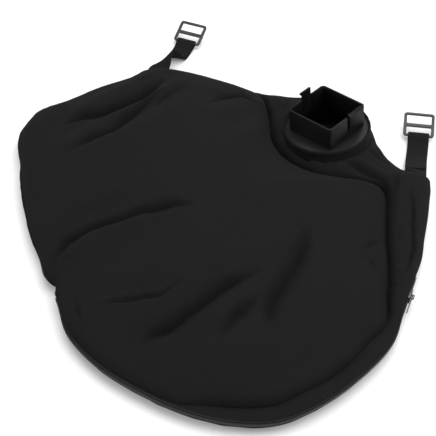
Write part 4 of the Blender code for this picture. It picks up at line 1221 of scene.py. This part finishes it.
def place_camera(scene):
    """A camera that looks down at the bag from one side."""
    level = math.cos(CAMERA_ELEVATION)
    back = Vector((math.sin(CAMERA_AZIMUTH) * level, -math.cos(CAMERA_AZIMUTH) * level, math.sin(CAMERA_ELEVATION)))
    lens = bpy.data.cameras.new("camera")
    lens.lens = CAMERA_LENS
    lens.sensor_width = 36
    camera = new_object("camera", lens)
    camera.location = back * CAMERA_DISTANCE
    camera.rotation_euler = (-back).to_track_quat('-Z', 'Y').to_euler()
    scene.camera = camera


# Operators


class CB_OT_stage(Operator):
    """Lay the floor and set the lights, the world and the camera"""
    bl_idname = "bag.stage"
    bl_label = "Stage"

    def execute(self, context):
        lay_floor(context.scene.bag_looks.floor_colour)
        light_room(context.scene)
        for name, place, size, power in LAMPS:
            place_lamp(name, place, size, power)
        place_camera(context.scene)
        context.scene.view_settings.view_transform = 'Standard'
        return {'FINISHED'}


class CB_OT_cloth(Operator):
    """Make the three cloth panels and the hem of the neck"""
    bl_idname = "bag.cloth"
    bl_label = "Cloth"

    def execute(self, context):
        shape = context.scene.bag_shape
        make_bottom_cloth(shape)
        make_gusset_cloth(shape)
        make_top_cloth(shape)
        make_cuff()
        return {'FINISHED'}


class CB_OT_inlet(Operator):
    """Make the inlet moulding and the band under the hem"""
    bl_idname = "bag.inlet"
    bl_label = "Inlet"

    def execute(self, context):
        soften_node("inlet_connector", "inlet_moulding", MATERIALS["connector"], "bag", 0.0009)
        paint_node("hem_band", "webbing")
        return {'FINISHED'}


class CB_OT_zip(Operator):
    """Make the zip's turns, tapes, stops, slider and pull"""
    bl_idname = "bag.zip"
    bl_label = "Zip"

    def execute(self, context):
        for side, label in ((1, "upper"), (-1, "lower")):
            make_coil(side, label)
            paint_node(f"zip_tape_{label}", "tape")
            soften_node(f"zip_top_stop_{label}", f"top_stop_{label}", MATERIALS["metal"], "bag", 0.0003)
        soften_node("zip_bottom_stop", "bottom_stop", MATERIALS["metal"], "bag", 0.0003)
        soften_node("zip_slider", "slider", MATERIALS["metal"], "zip_slider", 0.0003)
        soften_node("zip_pull", "pull", MATERIALS["metal"], "zip_pull", 0.0002)
        return {'FINISHED'}


class CB_OT_straps(Operator):
    """Make the two straps and their slide buckles"""
    bl_idname = "bag.straps"
    bl_label = "Straps"

    def execute(self, context):
        for label, strap in STRAPS.items():
            make_strap(label, strap)
            soften_node(f"buckle_{label}", f"slide_{label}", MATERIALS["buckle"], f"buckle_{label}", 0.0004)
        return {'FINISHED'}


class CB_PT_bag(Panel):
    """Pieces of the collection bag"""
    bl_idname = "CB_PT_bag"
    bl_label = "Collection Bag"
    bl_space_type = 'VIEW_3D'
    bl_region_type = 'UI'
    bl_category = "Bag"

    def draw(self, context):
        for group in (context.scene.bag_shape, context.scene.bag_looks):
            for key in group.__annotations__:
                self.layout.prop(group, key)
        for operator in OPERATORS:
            self.layout.operator(operator.bl_idname)


OPERATORS = (CB_OT_stage, CB_OT_cloth, CB_OT_inlet, CB_OT_zip, CB_OT_straps)
CLASSES = (CB_PG_shape, CB_PG_looks, *OPERATORS, CB_PT_bag)


def register():
    """Make the settings, operators and panel known."""
    for item in CLASSES:
        bpy.utils.register_class(item)
    bpy.types.Scene.bag_shape = PointerProperty(type=CB_PG_shape)
    bpy.types.Scene.bag_looks = PointerProperty(type=CB_PG_looks)


def unregister():
    """Take the settings, operators and panel away."""
    del bpy.types.Scene.bag_looks
    del bpy.types.Scene.bag_shape
    for item in reversed(CLASSES):
        bpy.utils.unregister_class(item)


def main():
    """Build the whole bag."""
    register()
    MATERIALS.update(make_materials(bpy.context.scene.bag_looks))
    bpy.ops.bag.stage()
    bpy.ops.bag.cloth()
    bpy.ops.bag.inlet()
    bpy.ops.bag.zip()
    bpy.ops.bag.straps()


if __name__ == "__main__":
    main()
